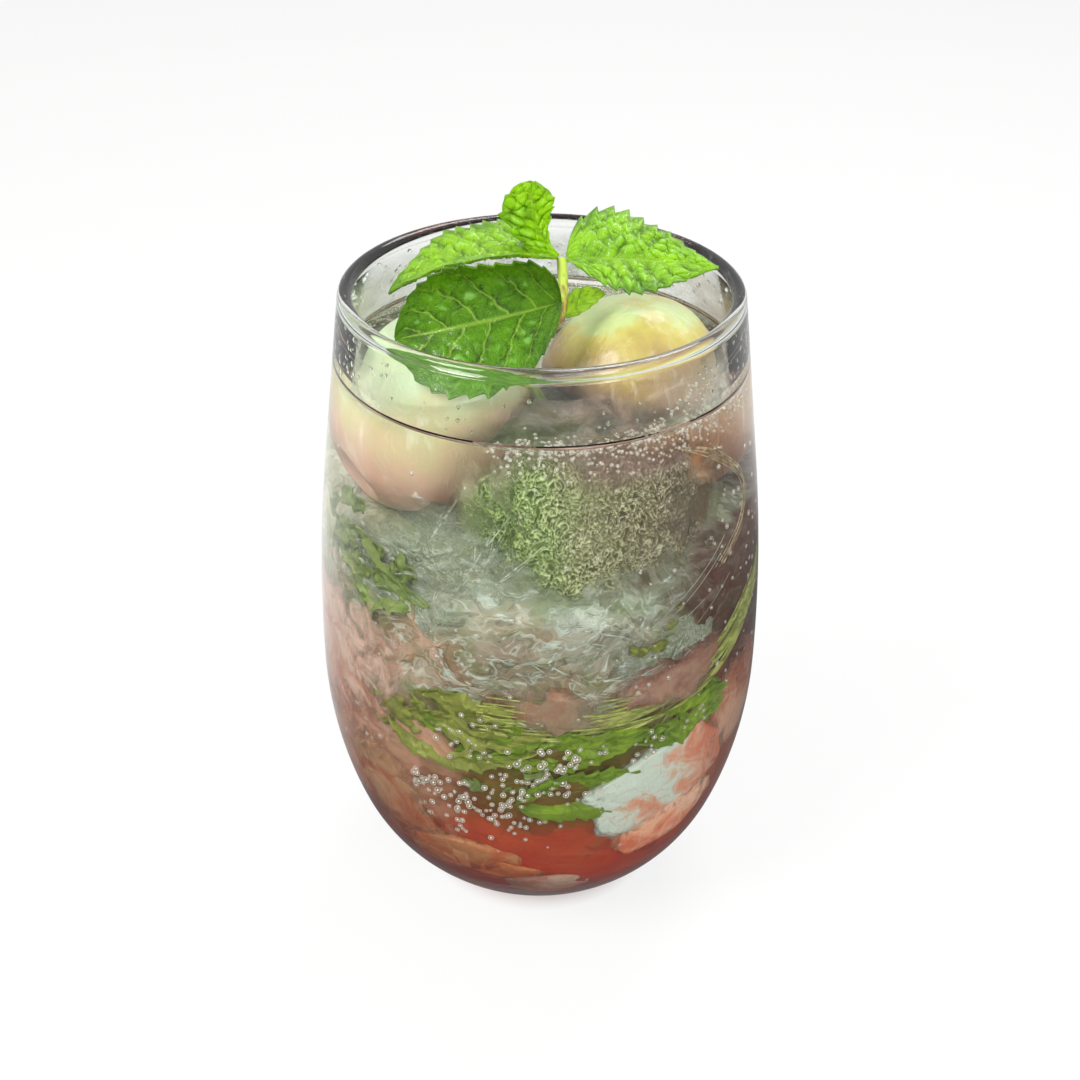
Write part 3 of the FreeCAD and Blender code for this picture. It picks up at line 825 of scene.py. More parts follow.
def murkFinish():
    finish = Finish("murk")
    parts = finish.split()
    height = finish.sway(finish.span(parts["Z"], 0.0, 0.105), finish.cloud(42.0, 4.0, 0.6, 0.6), 0.08)
    middle, left, right = [finish.ramp(height, murkColours[part]) for part in ("middle", "left", "right")]
    other = finish.cloud(60.0, 4.0, 0.6, 0.8, stretch=(1, 1, 1), shift=(0.3, 0.1, 0.2))
    across = finish.sway(parts["X"], other, 0.008)
    finish.colour = finish.blend(finish.span(across, -0.013, -0.021), middle, left)
    # the right side takes the right ramp, with its painted shade
    finish.paint(finish.span(across, 0.016, 0.025), right)
    # crushed ice: uneven splinters, each its own shade, with a bright or dark edge here and there
    bend = finish.cloud(70.0, 3.0, 0.6, 0.4, output="Color")
    drift = finish.add("VectorMath", {0: bend, 1: (0.022, 0.022, 0.022), 2: finish.place},
                       operation="MULTIPLY_ADD")[0]
    splinters = finish.mapped(drift, (1.0, 1.0, 2.0), (0.5, 0.7, 0.3))
    shade = finish.split(finish.cells(splinters, 120.0))["X"]
    chip = finish.split(finish.cells(finish.mapped(splinters, (1.0, 1.6, 1.0), (0.9, 0.2, 0.5)), 330.0))["Y"]
    frosty = finish.span(parts["Z"], 0.050, 0.064)
    # painted light: the frost flecks, cracks, pale strokes, pale splinters and green bits fade out towards the
    # shaded right side
    icyWhereLit = finish.times(frosty, finish.span(across, 0.026, 0.014, 0.12, 1.0))
    pale = finish.times(finish.span(shade, 0.62, 0.95), finish.times(frosty, 0.3))
    finish.paint(finish.times(pale, finish.span(across, 0.026, 0.014, 0.15, 1.0)), (176, 188, 182))
    deep = finish.times(finish.span(shade, 0.34, 0.05), 0.35)
    finish.paint(deep, finish.blend(frosty, (92, 30, 12), (68, 64, 42)))
    finish.paint(finish.times(finish.span(chip, 0.80, 0.95), finish.times(icyWhereLit, 0.3)), (226, 232, 220))
    finish.paint(finish.times(finish.span(chip, 0.20, 0.04), finish.times(frosty, 0.5)), (70, 66, 46))
    crack = finish.span(finish.cells(splinters, 120.0, True), 0.0, 0.05, 1.0, 0.0)
    finish.paint(finish.times(crack, finish.times(icyWhereLit, 0.10)), (232, 236, 224))
    # fine feathery strokes across the ice, pale ones one way and dark ones the other
    strokes = finish.cloud(190.0, 6.0, 0.68, 0.9, drift, (1.0, 1.0, 3.2), (0.4, 0.5, 0.2))
    finish.paint(finish.times(finish.span(strokes, 0.54, 0.66), finish.times(icyWhereLit, 0.75)), (206, 218, 212))
    scores = finish.cloud(210.0, 6.0, 0.68, 0.9, drift, (1.0, 1.0, 3.6), (0.7, -0.6, 0.9), (0.4, 0.1, 0.7))
    finish.paint(finish.times(finish.span(scores, 0.55, 0.66), finish.times(frosty, 0.6)), (74, 72, 52))
    leafy = finish.cloud(95.0, 4.0, 0.6, 1.0, stretch=(1, 1, 1.8), shift=(0.7, 0.2, 0.5))
    green = finish.times(finish.span(leafy, 0.50, 0.68), finish.span(parts["Z"], 0.032, 0.046))
    green = finish.times(green, finish.span(across, 0.026, 0.016, 0.0, 1.0), 0.45)
    finish.paint(green, (74, 104, 22))
    rise = finish.plus(shade, finish.times(chip, 0.5), finish.times(leafy, 0.8))
    finish.emboss(rise, 0.8, 0.0012)
    return finish.done(rough=0.22, soft=(0.1, (1.0, 0.8, 0.6), 0.002))


def makeMurk():
    m = murkShape
    floor = glassShape["base"] + m["lowDepth"]
    section = [(0.0, floor)]
    for height in closeHeights(floor, m["shoulder"]):
        depth = m["lowDepth"] + (m["depth"] - m["lowDepth"]) * min(height / m["deepFrom"], 1.0)
        section.append((boreRadius(height, depth), height))
    reach = section[-1][0]
    for step in range(1, 13):  # a domed top
        turn = step * math.pi / 24
        section.append((reach * math.cos(turn), m["shoulder"] + (m["top"] - m["shoulder"]) * math.sin(turn)))
    murk = spinShell("murk", section, m["around"])
    roughen(murk, m["lump"] * mm, m["lumpScale"], 3)
    keepInside(murk, m["gap"])
    smooth(murk)
    dress(murk, murkFinish(), "fizz")


makeMurk()
print("murk stirred")


iceShapes = named("turn height depth size tilt lump", {
    "Front": (-70, 94.0, 10.5, (42, 13, 25), 3, 3.4),
    "Low": (-52, 67.0, 7.5, (24, 11, 17), -14, 3.0),
    "Left": (-128, 76.0, 8.0, (22, 11, 14), 18, 3.0),
    "UnderLeft": (-124, 84.5, 7.6, (36, 11, 13), -6, 3.0),
})


# a lump by the wall: a block is cut up, rounded, turned to face outwards and roughened
def makeLump(name, values, finish, slotName, lumpScale=0.009, fineScale=0.0025, fine=0.5, roundness=0.0):
    lump = addPiece(name, bpy.ops.mesh.primitive_cube_add, size=1)
    lump.scale = [part * mm for part in values["size"]]
    settle(lump)
    pickFaces(lump, lambda face: True)
    bpy.ops.mesh.bevel(offset=min(values["size"]) * 0.32 * mm, segments=3, affect="EDGES")
    bpy.ops.mesh.select_all(action="SELECT")
    bpy.ops.mesh.subdivide(number_cuts=4)
    bpy.ops.transform.tosphere(value=roundness)
    bpy.ops.object.mode_set(mode="OBJECT")
    lean = Matrix.Rotation(math.radians(values["tilt"]), 3, "Y")
    wall = boreRadius(values["height"], values["depth"])
    reaches = lump.data.attributes.new("reach", "FLOAT", "POINT")
    # bent along the wall, its outer face at an even depth
    for vertex, reach in zip(lump.data.vertices, reaches.data):
        reach.value = math.hypot(vertex.co.x / lump.dimensions.x, vertex.co.z / lump.dimensions.z) * 2
        x, y, z = lean @ (vertex.co / mm)
        turn = values["turn"] + math.degrees(x / wall)
        vertex.co = wallSpot(turn, values["height"] + z, values["depth"] + y) * mm
    roughen(lump, values["lump"] * mm, lumpScale, 1)
    modify(lump, "SUBSURF", levels=1, render_levels=1)
    roughen(lump, fine * mm, fineScale, 2)
    keepInside(lump)
    smooth(lump)
    dress(lump, finish, slotName)


def frostedIce():
    finish = Finish("frostedIce")
    squiggle = finish.cloud(330.0, 4.0, 0.6, 2.2)
    flake = finish.cloud(150.0, 5.0, 0.65, 1.0, stretch=(1, 1, 2.2), turn=(0.4, 0.7, 0.2))
    line = finish.lines(squiggle, 0.0, 0.03)
    frost = finish.span(flake, 0.5, 0.75)
    finish.colour = finish.blend(frost, (156, 164, 138), (216, 224, 214))
    finish.paint(finish.times(line, 0.5), (240, 244, 236))
    cloudy = finish.minus(0.82, finish.times(finish.most(frost, finish.times(line, 0.7)), 0.5))
    finish.melt(0.3, 1.1, 0.18)
    finish.emboss(finish.plus(squiggle, finish.times(flake, 1.2)), 1.0, 0.0022)
    finish.letLampsIn(0.85)
    return finish.done(rough=0.16, ior=1.16, clear=finish.times(cloudy, 0.2))


# the front block's body: brown where the syrup's shade falls on its top
def shadedIce():
    finish = Finish("shadedIce")
    parts = finish.split()
    cloud = finish.cloud(130.0, 5.0, 0.62, 1.2)
    across = finish.span(parts["X"], -0.010, 0.026)
    below = finish.ramp(across, [(0.0, (112, 124, 82)), (0.5, (120, 118, 86)), (1.0, (92, 74, 58))])
    above = finish.ramp(across, [(0.0, (168, 164, 132)), (0.35, (156, 142, 130)), (0.7, (160, 122, 102)),
                                 (1.0, (180, 120, 74))])
    height = finish.sway(parts["Z"], cloud, 0.003)
    finish.colour = finish.blend(finish.span(height, 0.094, 0.099), below, above)
    finish.paint(finish.span(cloud, 0.55, 0.7, 0.0, 0.35), (196, 190, 176))
    finish.melt(0.62, 1.05, 0.22, 120.0)
    finish.emboss(cloud, 0.9, 0.0015)
    return finish.done(rough=0.22)


ice = frostedIce()
for name, values in iceShapes.items():
    makeLump("ice" + name, values, shadedIce() if name == "Front" else ice, "fizz")
print("ice dropped in")


# the front block's face is melted into close wriggling ridges
iceFace = {"turn": -74.5, "across": 74, "height": 93.3, "tall": 28, "depth": 2.4, "bulge": 1.5, "relief": 0.32,
           "pitch": 0.56, "warp": 0.9, "columns": 330, "rows": 150, "gap": 0.5}


def wriggledIce():
    finish = Finish("wriggledIce")
    parts = finish.split()
    faceMap = finish.split(finish.ownMap())
    ridge = finish.attribute("ridge")
    ragged = finish.cloud(150.0, 4.0, 0.6, 0.8)
    across = finish.sway(parts["X"], finish.cloud(70.0, 3.0), 0.005)
    place = finish.span(across, -0.010, 0.026)
    ground = finish.ramp(place, [(0.0, (104, 124, 66)), (0.28, (112, 130, 72)), (0.5, (124, 124, 86)),
                                 (0.75, (112, 104, 76)), (1.0, (98, 84, 66))])
    crest = finish.ramp(place, [(0.0, (196, 216, 140)), (0.4, (216, 222, 172)), (1.0, (212, 204, 180))])
    hollow = finish.ramp(place, [(0.0, (44, 70, 10)), (0.5, (66, 66, 30)), (1.0, (62, 50, 36))])
    # painted shade: the top of the face, under the lychees, is purple-brown with calmer ridges
    plain = finish.times(finish.span(parts["Z"], 0.0975, 0.1015), finish.span(across, 0.000, 0.008))
    calm = finish.most(plain, finish.span(across, 0.020, 0.025))
    ridgeShading = finish.minus(1.0, finish.times(calm, 0.85))
    ridgeShading = finish.times(ridgeShading, finish.span(ragged, 0.38, 0.56, 0.55, 1.15))
    finish.colour = finish.blend(finish.times(plain, 0.9), ground, (132, 104, 94))
    # painted highlights on the ridge crests and painted shade in the hollows
    finish.paint(finish.times(finish.span(ridge, 0.45, 0.95), finish.times(ridgeShading, 0.72)), crest)
    finish.paint(finish.times(finish.span(ridge, 0.18, 0.0), finish.times(ridgeShading, 0.8)), hollow)
    # a rounded oblong with a ragged edge
    fromX, fromY = [finish.sum("POWER", finish.size(finish.minus(finish.times(faceMap[way], 2.0), 1.0)), 2.6)
                    for way in "XY"]
    inside = finish.minus(1.0, finish.plus(fromX, fromY))
    inside = finish.plus(inside, finish.span(ragged, 0.35, 0.65, -0.5, 0.16))
    finish.emboss(finish.cloud(1400.0, 2.0), 0.3, 0.0002)
    return finish.done(rough=0.16, coat=(0.6, 0.08), alpha=finish.span(inside, -0.05, 0.55))


def makeIceFace():
    f = iceFace
    face = addGrid("iceFace", f["columns"], f["rows"])
    ridges = face.data.attributes.new("ridge", "FLOAT", "POINT")
    wide = math.radians(f["across"]) * boreRadius(f["height"], f["depth"])
    for vertex, crest in zip(face.data.vertices, ridges.data):
        x, y = vertex.co.x, vertex.co.y
        spot = Vector((x * wide / 2, y * f["tall"] / 2, 3.0))
        spot += noise.noise_vector(spot * 0.55) * f["warp"]
        crest.value = 1 - min(abs(noise.noise(spot / f["pitch"])) / 0.30, 1.0)
        swell = noise.noise(Vector((x * 2.6, y * 1.6, 5.0))) * 0.9
        depth = f["depth"] + swell + f["bulge"] * (x ** 4 + y ** 4) - f["relief"] * crest.value
        vertex.co = wallSpot(f["turn"] + x * f["across"] / 2, f["height"] + y * f["tall"] / 2, depth) * mm
    keepInside(face, f["gap"])
    smooth(face)
    dress(face, wriggledIce(), "fizz")


makeIceFace()
print("front ice melted into ridges")


# thin cracked sheets of ice that stand in front of the murk, each across a span of the wall:
# turn, across, height, tall, depth, lean and slant
veilShapes = [
    (-98, 62, 74.0, 15, 2.6, -10, 0.12), (-118, 44, 86.0, 18, 3.2, 20, -0.2), (-62, 40, 72.0, 20, 2.4, 14, 0.5),
    (-84, 16, 72.0, 20, 1.9, -6, 0.1), (-146, 36, 76.0, 22, 2.6, -14, 0.2), (-104, 50, 64.0, 10, 2.2, 4, -0.1),
    (60, 90, 80.0, 24, 2.6, 8, 0.2), (140, 80, 72.0, 24, 2.6, -8, -0.2),
]
veilSeeds = {"iceVeilA": 0.0, "iceVeilB": 1.3, "iceVeilC": 2.9}


def veilFinish(name, seed):
    finish = Finish(name)
    parts = finish.split(finish.ownMap())
    rimX, rimY = [finish.times(parts[way], finish.minus(1.0, parts[way]), 4.0) for way in "XY"]
    inside = finish.times(finish.span(rimX, 0.05, 0.6), finish.span(rimY, 0.05, 0.6))
    ragged = finish.cloud(95.0, 5.0, 0.65, 1.4, stretch=(1, 1, 1), shift=(seed * 0.37, 0, 0))
    feather = finish.cloud(150.0, 6.0, 0.68, 0.5, stretch=(1.0, 1.0, 3.4),
                           turn=(0.2 + seed, 0.5 - seed * 0.3, 0.4), shift=(seed, 0, 0))
    cover = finish.most(finish.times(finish.span(feather, 0.53, 0.68), 0.75), 0.05)
    cover = finish.times(finish.times(inside, finish.span(ragged, 0.44, 0.56)), cover)
    finish.colour = finish.blend(finish.span(feather, 0.56, 0.70), (160, 172, 164), (232, 240, 238))
    finish.emboss(feather, 0.9, 0.0012)
    return finish.done(rough=0.22, alpha=cover)


def makeVeil(index, values, finish):
    turn, across, high, tall, deep, lean, slant = values
    veil = addGrid("iceVeil%02d" % index, 64, 32)
    for vertex in veil.data.vertices:
        x, y = vertex.co.x, vertex.co.y
        crumple = noise.noise(Vector((x * 2.3 + index * 7, y * 2.0, index))) * 1.5
        crumple += noise.noise(Vector((x * 8 + index, y * 7.0, index * 3))) * 0.45
        depth = max(deep + crumple + y * lean * 0.06, 0.5)
        vertex.co = wallSpot(turn + x * across / 2, high + y * tall / 2 + x * slant * tall, depth) * mm
    smooth(veil)
    dress(veil, finish, "fizz")


veils = [veilFinish(name, seed) for name, seed in veilSeeds.items()]
for index, values in enumerate(veilShapes):
    makeVeil(index, values, veils[index % 3])
print("ice veils hung")


# "rind" is the way to the pale side; "soft" is where it fades out, and how raggedly
melonShapes = named("turn height depth size tilt lump rind colours soft", {
    "Right": (-54, 38.5, 6.2, (27, 12, 17), -22, 4.5, (-0.9, 0, 0.5),
              ((196, 116, 90), (206, 152, 126), (194, 202, 192))),
    "Left": (-156, 58.0, 6.4, (27, 12, 38), 6, 6.0, (0.4, 0, 0.6),
             ((184, 124, 104), (194, 148, 130), (206, 174, 160)), (0.5, 1.05, 0.4)),
    "LeftLow": (-134, 33.0, 5.2, (16, 9, 24), -30, 4.5, (0.2, 0, 0.9),
                ((148, 68, 38), (166, 96, 64), (174, 130, 96)), (0.6, 1.1, 0.3)),
    "LeftBelow": (-116, 22.5, 3.4, (24, 5, 7), -10, 2.4, (0.2, 0, 0.9),
                  ((142, 52, 20), (170, 86, 48), (174, 112, 70))),
    "RightEdge": (-22, 47.0, 6.0, (22, 11, 21), 10, 4.5, (-0.3, 0, -0.6),
                  ((136, 70, 46), (172, 112, 86), (190, 146, 124)), (0.7, 1.1, 0.3)),
    "Rosy": (-52, 61.5, 4.6, (24, 6, 7), -4, 4.0, (0.0, 0, -0.9),
             ((104, 60, 50), (136, 94, 78), (150, 116, 98)), (0.6, 1.1, 0.35)),
    "Middle": (-88, 59.0, 4.8, (22, 6, 9), 5, 4.5, (0.5, 0, -0.9),
               ((136, 88, 62), (146, 114, 92), (144, 128, 106)), (0.5, 1.05, 0.4)),
    "RightLow": (-50, 28.5, 4.6, (21, 8, 10), -24, 3.0, (0.3, 0, 0.9),
                 ((208, 112, 78), (228, 156, 124), (230, 182, 156)), (0.7, 1.1, 0.3)),
    "Rind": (-86, 15.0, 3.2, (15, 4.0, 6.0), -8, 1.8, (0.0, 0, 0.9),
             ((156, 92, 68), (176, 124, 104), (190, 154, 136))),
    "Strip": (-106, 21.0, 2.6, (22, 3.5, 3.4), 12, 1.8, (-0.2, 0, 0.9),
              ((172, 76, 34), (186, 104, 60), (192, 130, 90))),
    "Back": (80, 44.0, 7.0, (30, 13, 24), 18, 5.0, (0.4, 0, 0.7)),
    "BackLeft": (150, 34.0, 7.0, (24, 12, 20), -20, 4.0, (-0.5, 0, 0.5)),
})
melonColours = ((198, 116, 96), (218, 156, 134), (226, 206, 190))
melonEdge = (0.95, 1.2, 0.2)


# pale towards the rind side, salmon to rosy away from it
def melonFinish(name, values):
    rosy, salmon, pale = values.get("colours", melonColours)
    middle = wallSpot(values["turn"], values["height"], values["depth"]) * mm
    turn = math.radians(values["turn"] + 90)
    x, y, z = values["rind"]
    rind = Vector((x * math.cos(turn), x * math.sin(turn), z)).normalized()
    reach = max(values["size"]) * 0.42 * mm
    finish = Finish(name)
    shifted = finish.add("VectorMath", {0: finish.place, 1: middle}, operation="SUBTRACT")[0]
    along = finish.add("VectorMath", {0: shifted, 1: rind}, operation="DOT_PRODUCT")["Value"]
    patch = finish.cloud(85.0, 5.0, 0.6, 1.2, stretch=(1, 1, 1.5))
    share = finish.sway(finish.span(along, -reach, reach), patch, 0.45)
    finish.colour = finish.ramp(share, [(0.1, rosy), (0.45, salmon), (0.72, pale)])
    grain = finish.cloud(420.0, 4.0, 0.6, 0.8, stretch=(1, 1, 0.35), turn=(0.5, 0.3, 0))
    finish.paint(finish.span(grain, 0.52, 0.66, 0.0, 0.4), pale)
    crease = finish.lines(finish.cloud(90.0, 3.0, 0.5, 1.8), 0.0, 0.014)
    finish.paint(finish.times(crease, 0.4), rosy)
    finish.melt(*values.get("soft", melonEdge))
    finish.emboss(finish.plus(grain, finish.times(patch, 1.2)), 0.7, 0.0012)
    return finish.done(rough=0.24, coat=(0.3, 0.1), soft=(0.35, (1.0, 0.5, 0.35), 0.004))


for name, values in melonShapes.items():
    finish = melonFinish("melon" + name, values)
    makeLump("melon" + name, values, finish, "lychee_flesh", 0.0075, 0.0022, 0.7, 0.35)
print("watermelon dropped in")


# mint that has sunk; the last number picks its finish
sunkShapes = named("turn height depth " + bladeNames + " finish", {
    "LowLeft": (-134, 52.0, 2.8, -8, 6, 84, 10, 27, 0.75, 14, (6.5, 0.45, 10), (5.5, 0.4, 20), 7, 0.6, 1),
    "LowLeftTop": (-126, 59.0, 2.6, -16, -4, 98, -20, 24, 0.75, 12, (5.0, 0.45, -10), (5.0, 0.5, 16), 7, 0.5, 1),
    "LowRight": (-66, 50.5, 2.2, 4, 10, 84, 8, 22, 0.8, 8, (3.8, 0.5, 6), (4.4, 0.5, 10), 7, 0.5, 0),
    "LowMiddle": (-97, 39.0, 2.6, 16, -6, 80, 20, 25, 0.7, 20, (6.5, 0.45, 20), (6.0, 0.4, 10), 7, 0.6, 0),
    "MiddleBand": (-104, 50.0, 2.4, 4, 8, 92, 6, 27, 0.8, 10, (4.0, 0.5, 0), (4.2, 0.5, 10), 8, 0.5, 0),
    "HighLeft": (-160, 82.0, 3.0, -10, -30, 86, 24, 22, 0.75, 12, (6.0, 0.45, 10), (5.0, 0.4, 20), 7, 0.6, 2),
    "HighLeftLow": (-150, 74.0, 3.0, 14, 0, 90, -16, 18, 0.75, 12, (4.0, 0.45, 10), (4.0, 0.4, 20), 7, 0.5, 2),
    "Back": (50, 58.0, 2.8, 8, 20, 88, 10, 27, 0.75, 12, (7.0, 0.45, 10), (6.0, 0.4, 10), 8, 0.6, 1),
    "BackHigh": (110, 78.0, 2.8, -12, -20, 92, 10, 25, 0.75, 12, (6.5, 0.45, 10), (6.0, 0.4, 10), 8, 0.6, 2),
})

sunkFinishes = [
    mintFinish("mintSunkBright", 7, (78, 106, 0), (130, 158, 16), (160, 178, 66), 0.3, 0.45),
    mintFinish("mintSunkOlive", 7, (102, 108, 28), (146, 150, 62), (170, 170, 96), 0.25, 0.35),
    mintFinish("mintSunkGrey", 7, (98, 120, 50), (142, 158, 88), (166, 178, 120), 0.25, 0.35),
]

for name, shape in sunkShapes.items():
    wall = boreRadius(shape["height"], shape["depth"])
    shape.update(root=wallSpot(shape["turn"], shape["height"], shape["depth"]), heading=shape["turn"] + 90,
                 swerve=math.degrees(shape["length"] / wall), ragged=0.34, crumple=1.5)
    keepInside(makeLeaf("Sunk" + name, shape, sunkFinishes[shape["finish"]]))


# torn bits of leaf in clusters by the wall: count, finish, and what turn, height and size are drawn from
scrapSets = [
    (9, 2, (-164, -146), (77, 89), (3.0, 6.5)), (7, 2, (-148, -126), (74, 84), (3.0, 6.0)),
    (9, 1, (-142, -108), (50, 61), (3.5, 7.0)), (9, 0, (-126, -96), (48, 57), (3.5, 7.5)),
    (8, 0, (-72, -38), (50, 56), (3.5, 7.0)), (6, 2, (-110, -84), (42, 48), (3.0, 6.0)),
    (5, 1, (-66, -48), (66, 76), (3.0, 5.0)), (16, 1, (10, 190), (48, 90), (4.0, 8.0)),
]


def makeScrap(turn, height, size):
    scrap = addGrid("mintScrap", 14, 9)
    slope = random.uniform(-0.7, 0.7)
    seed = random.uniform(0, 100)
    deep = random.uniform(1.2, 2.6)
    puff = scrap.data.attributes.new("puff", "FLOAT", "POINT")
    for vertex, swell in zip(scrap.data.vertices, puff.data):
        x, y = vertex.co.x, vertex.co.y
        swell.value = noise.noise(Vector((x * 2.5 + seed, y * 2.5, seed)))
        edge = 1 + 0.45 * noise.noise(Vector((math.atan2(y, x) * 1.4, seed, 0)))
        x, y = x * math.sqrt(1 - y * y / 2) * edge, y * math.sqrt(1 - x * x / 2) * edge * 0.55
        along, rise = x * math.cos(slope) - y * math.sin(slope), x * math.sin(slope) + y * math.cos(slope)
        crumple = 0.30 * size * noise.noise(Vector((x * 1.3 + seed, y * 1.8, seed))) + 0.5 * swell.value
        around = turn + math.degrees(along * size / 2 / 36)
        vertex.co = wallSpot(around, height + rise * size / 2, max(deep + crumple, 0.6)) * mm
    modify(scrap, "SOLIDIFY", thickness=leafMake["thickness"] * mm)
    keepInside(scrap)
    return scrap


for index, finish in enumerate(sunkFinishes):
    scraps = []
    for count, dressed, *ranges in scrapSets:
        for bit in range(count):
            values = [random.uniform(*ends) for ends in ranges]
            if dressed == index:
                scraps.append(makeScrap(*values))
    dress(joinPieces(scraps, "mintScraps%d" % index), finish, "mint_leaf")
print("mint sunk")


# dark, light and how much it covers
strandColours = {
    "sunkStalk": ((96, 100, 22), (176, 180, 96), 1.0), "paleHair": ((150, 146, 120), (206, 204, 180), 0.6),
    "iceEdge": ((112, 88, 60), (208, 190, 156), 0.8), "crackedIce": ((72, 82, 56), (226, 232, 222), 0.75),
}

# each set lies along a line of turns and heights
strandSets = named("finish count spread radius depth line", {
    "Bundle": ("sunkStalk", 26, 3.4, (0.14, 0.44), (0.5, 1.3),
               [(-4, 73.0), (-16, 68.0), (-30, 63.0), (-46, 58.5), (-64, 56.5), (-84, 56.5), (-104, 58.0)]),
    "Hairs": ("paleHair", 5, 5.0, (0.04, 0.08), (0.8, 2.0),
              [(-34, 80.0), (-42, 75.0), (-54, 71.0), (-66, 68.0), (-80, 67.0)]),
    "IceEdge": ("iceEdge", 7, 0.8, (0.07, 0.2), (0.6, 1.6),
                [(-50, 103.0), (-38, 100.0), (-29, 96.0), (-22, 91.0), (-21, 86.0), (-27, 82.0), (-36, 79.5)]),
    "BackBundle": ("sunkStalk", 9, 5.0, (0.2, 0.6), (1.6, 3.6),
                   [(40, 70.0), (60, 64.0), (84, 60.0), (108, 60.0), (130, 66.0)]),
})

# short crossing cracks, each tuft's lines spreading from one spot: count, turn, height, lean and length
tuftSets = [
    (9, (-122, -100), (78, 92), (30, 80), (5, 13)), (14, (-104, -66), (66, 80), (-50, 60), (4, 12)),
    (8, (-66, -46), (62, 74), (-20, 70), (3, 7)), (8, (-150, -124), (72, 88), (-60, 40), (4, 10)),
    (8, (-100, -70), (56, 68), (-30, 30), (4, 12)),
]


def strandFinish(name):
    dark, light, cover = strandColours[name]
    finish = Finish(name)
    streak = finish.cloud(420.0, 4.0, 0.6, 0.5, stretch=(1, 1, 2.5))
    finish.colour = finish.blend(finish.span(streak, 0.35, 0.65), dark, light)
    finish.emboss(streak, 0.5, 0.0003)
    return finish.done(rough=0.3, alpha=cover)


def makeStrands(name, values, finish):
    spread = values["spread"]
    strands = []
    for index in range(values["count"]):
        lift = random.uniform(-1, 1) * spread
        depth = random.uniform(*values["depth"])
        first = random.choice((0, 0, 1))
        points = []
        for turn, height in values["line"][first:]:
            rise = height + lift + random.uniform(-1, 1) * (0.9 + 0.12 * spread)
            points.append(wallSpot(turn + random.uniform(-2, 2), rise, depth + random.uniform(-0.3, 0.3)))
            lift += random.uniform(-0.2, 0.2) * spread
        strands.append(makeStrand("strand", points, random.uniform(*values["radius"]), random.uniform(0.2, 0.9)))
    dress(joinPieces(strands, "strands" + name), finish, "mint_stalk")


def makeTufts(finish):
    tufts = []
    for count, *ranges in tuftSets:
        for index in range(count):
            turn, height, lean, length = [random.uniform(*ends) for ends in ranges]
            for strand in range(3):
                slope = math.radians(lean + random.uniform(-14, 14))
                long = length * random.uniform(0.5, 1.0)
                points = []
                for step in range(4):
                    share = step / 3
                    sag = math.sin(math.pi * share) * random.uniform(-0.5, 0.5)
                    around = turn + math.degrees(math.cos(slope) * long * share / 34)
                    rise = height + math.sin(slope) * long * share + sag
                    points.append(wallSpot(around, rise, random.uniform(0.6, 1.4)))
                tufts.append(makeStrand("tuft", points, random.uniform(0.05, 0.13), 0.1, 3))
    dress(joinPieces(tufts, "iceCracks"), finish, "fizz")


strandFinishes = {name: strandFinish(name) for name in strandColours}
for name, values in strandSets.items():
    makeStrands(name, values, strandFinishes[values["finish"]])
makeTufts(strandFinishes["crackedIce"])
print("stalks and cracks laid in")


# count, and what turn, height, radius and depth are drawn from
bubbleSets = [
    (40, (-126, -108), (33, 43), (0.42, 0.72), (0.3, 0.9)),
    (34, (-96, -80), (42, 52), (0.42, 0.78), (0.3, 0.9)),
    (44, (-112, -92), (30, 42), (0.38, 0.72), (0.3, 1.0)),
    (22, (-118, -100), (48, 58), (0.35, 0.62), (0.3, 1.0)),
    (50, (-165, -134), (38, 66), (0.32, 0.66), (0.3, 1.0)),
    (34, (-66, -40), (40, 54), (0.32, 0.62), (0.3, 1.0)),
    (60, (-36, -6), (52, 98), (0.26, 0.58), (0.3, 1.0)),
    (60, (-150, -30), (26, 66), (0.26, 0.58), (0.3, 1.2)),
    (50, (-160, -20), (66, 100), (0.20, 0.46), (0.3, 1.2)),
    (46, (-104, -70), (34, 52), (0.34, 0.66), (0.3, 0.9)),
    (120, (0, 200), (26, 98), (0.25, 0.7), (0.3, 1.4)),
]
bigBubbles = [(-45, 87.5, 1.5), (-40, 84.0, 1.1), (-48, 83.5, 0.8), (-36, 80.0, 0.9)]  # turn, height and radius
frothSet = {"count": 900, "turn": (-104, -14), "backTurn": (20, 160), "radius": (0.12, 0.34), "reach": 5.5}


def bubbleFinish():
    finish = Finish("paintedBubbleShine")
    turned = finish.add("LayerWeight", {"Blend": 0.5})["Facing"]
    # painted light: a bright spot in the middle, a pale ring of painted reflection, a dark painted rim and white
    # specks of painted glint stand in for how light bends in an air bubble
    finish.colour = finish.ramp(turned, [
        (0.0, (255, 250, 244)), (0.18, (150, 128, 110)), (0.40, (214, 204, 192)), (0.58, (236, 232, 224)),
        (0.74, (210, 202, 190)), (0.86, (70, 52, 38)), (1.0, (44, 32, 22))])
    finish.paint(finish.span(finish.cloud(1500.0, 2.0), 0.5, 0.7, 0.0, 0.2), (255, 255, 252))
    cover = finish.most(finish.span(turned, 0.10, 0.45, 0.18, 1.0), finish.span(turned, 0.02, 0.06, 1.0, 0.0))
    return finish.done(rough=0.05, specular=0.9, coat=(1.0, 0.03), alpha=cover)


# air in the drink bends light the other way
def airFinish():
    finish = Finish("bubbleAir")
    finish.colour = finish.blend(finish.cloud(900.0, 2.0), (250, 250, 246), (255, 255, 255))
    finish.letLampsIn(0.9)
    return finish.done(rough=0.0, ior=0.78, clear=1.0)


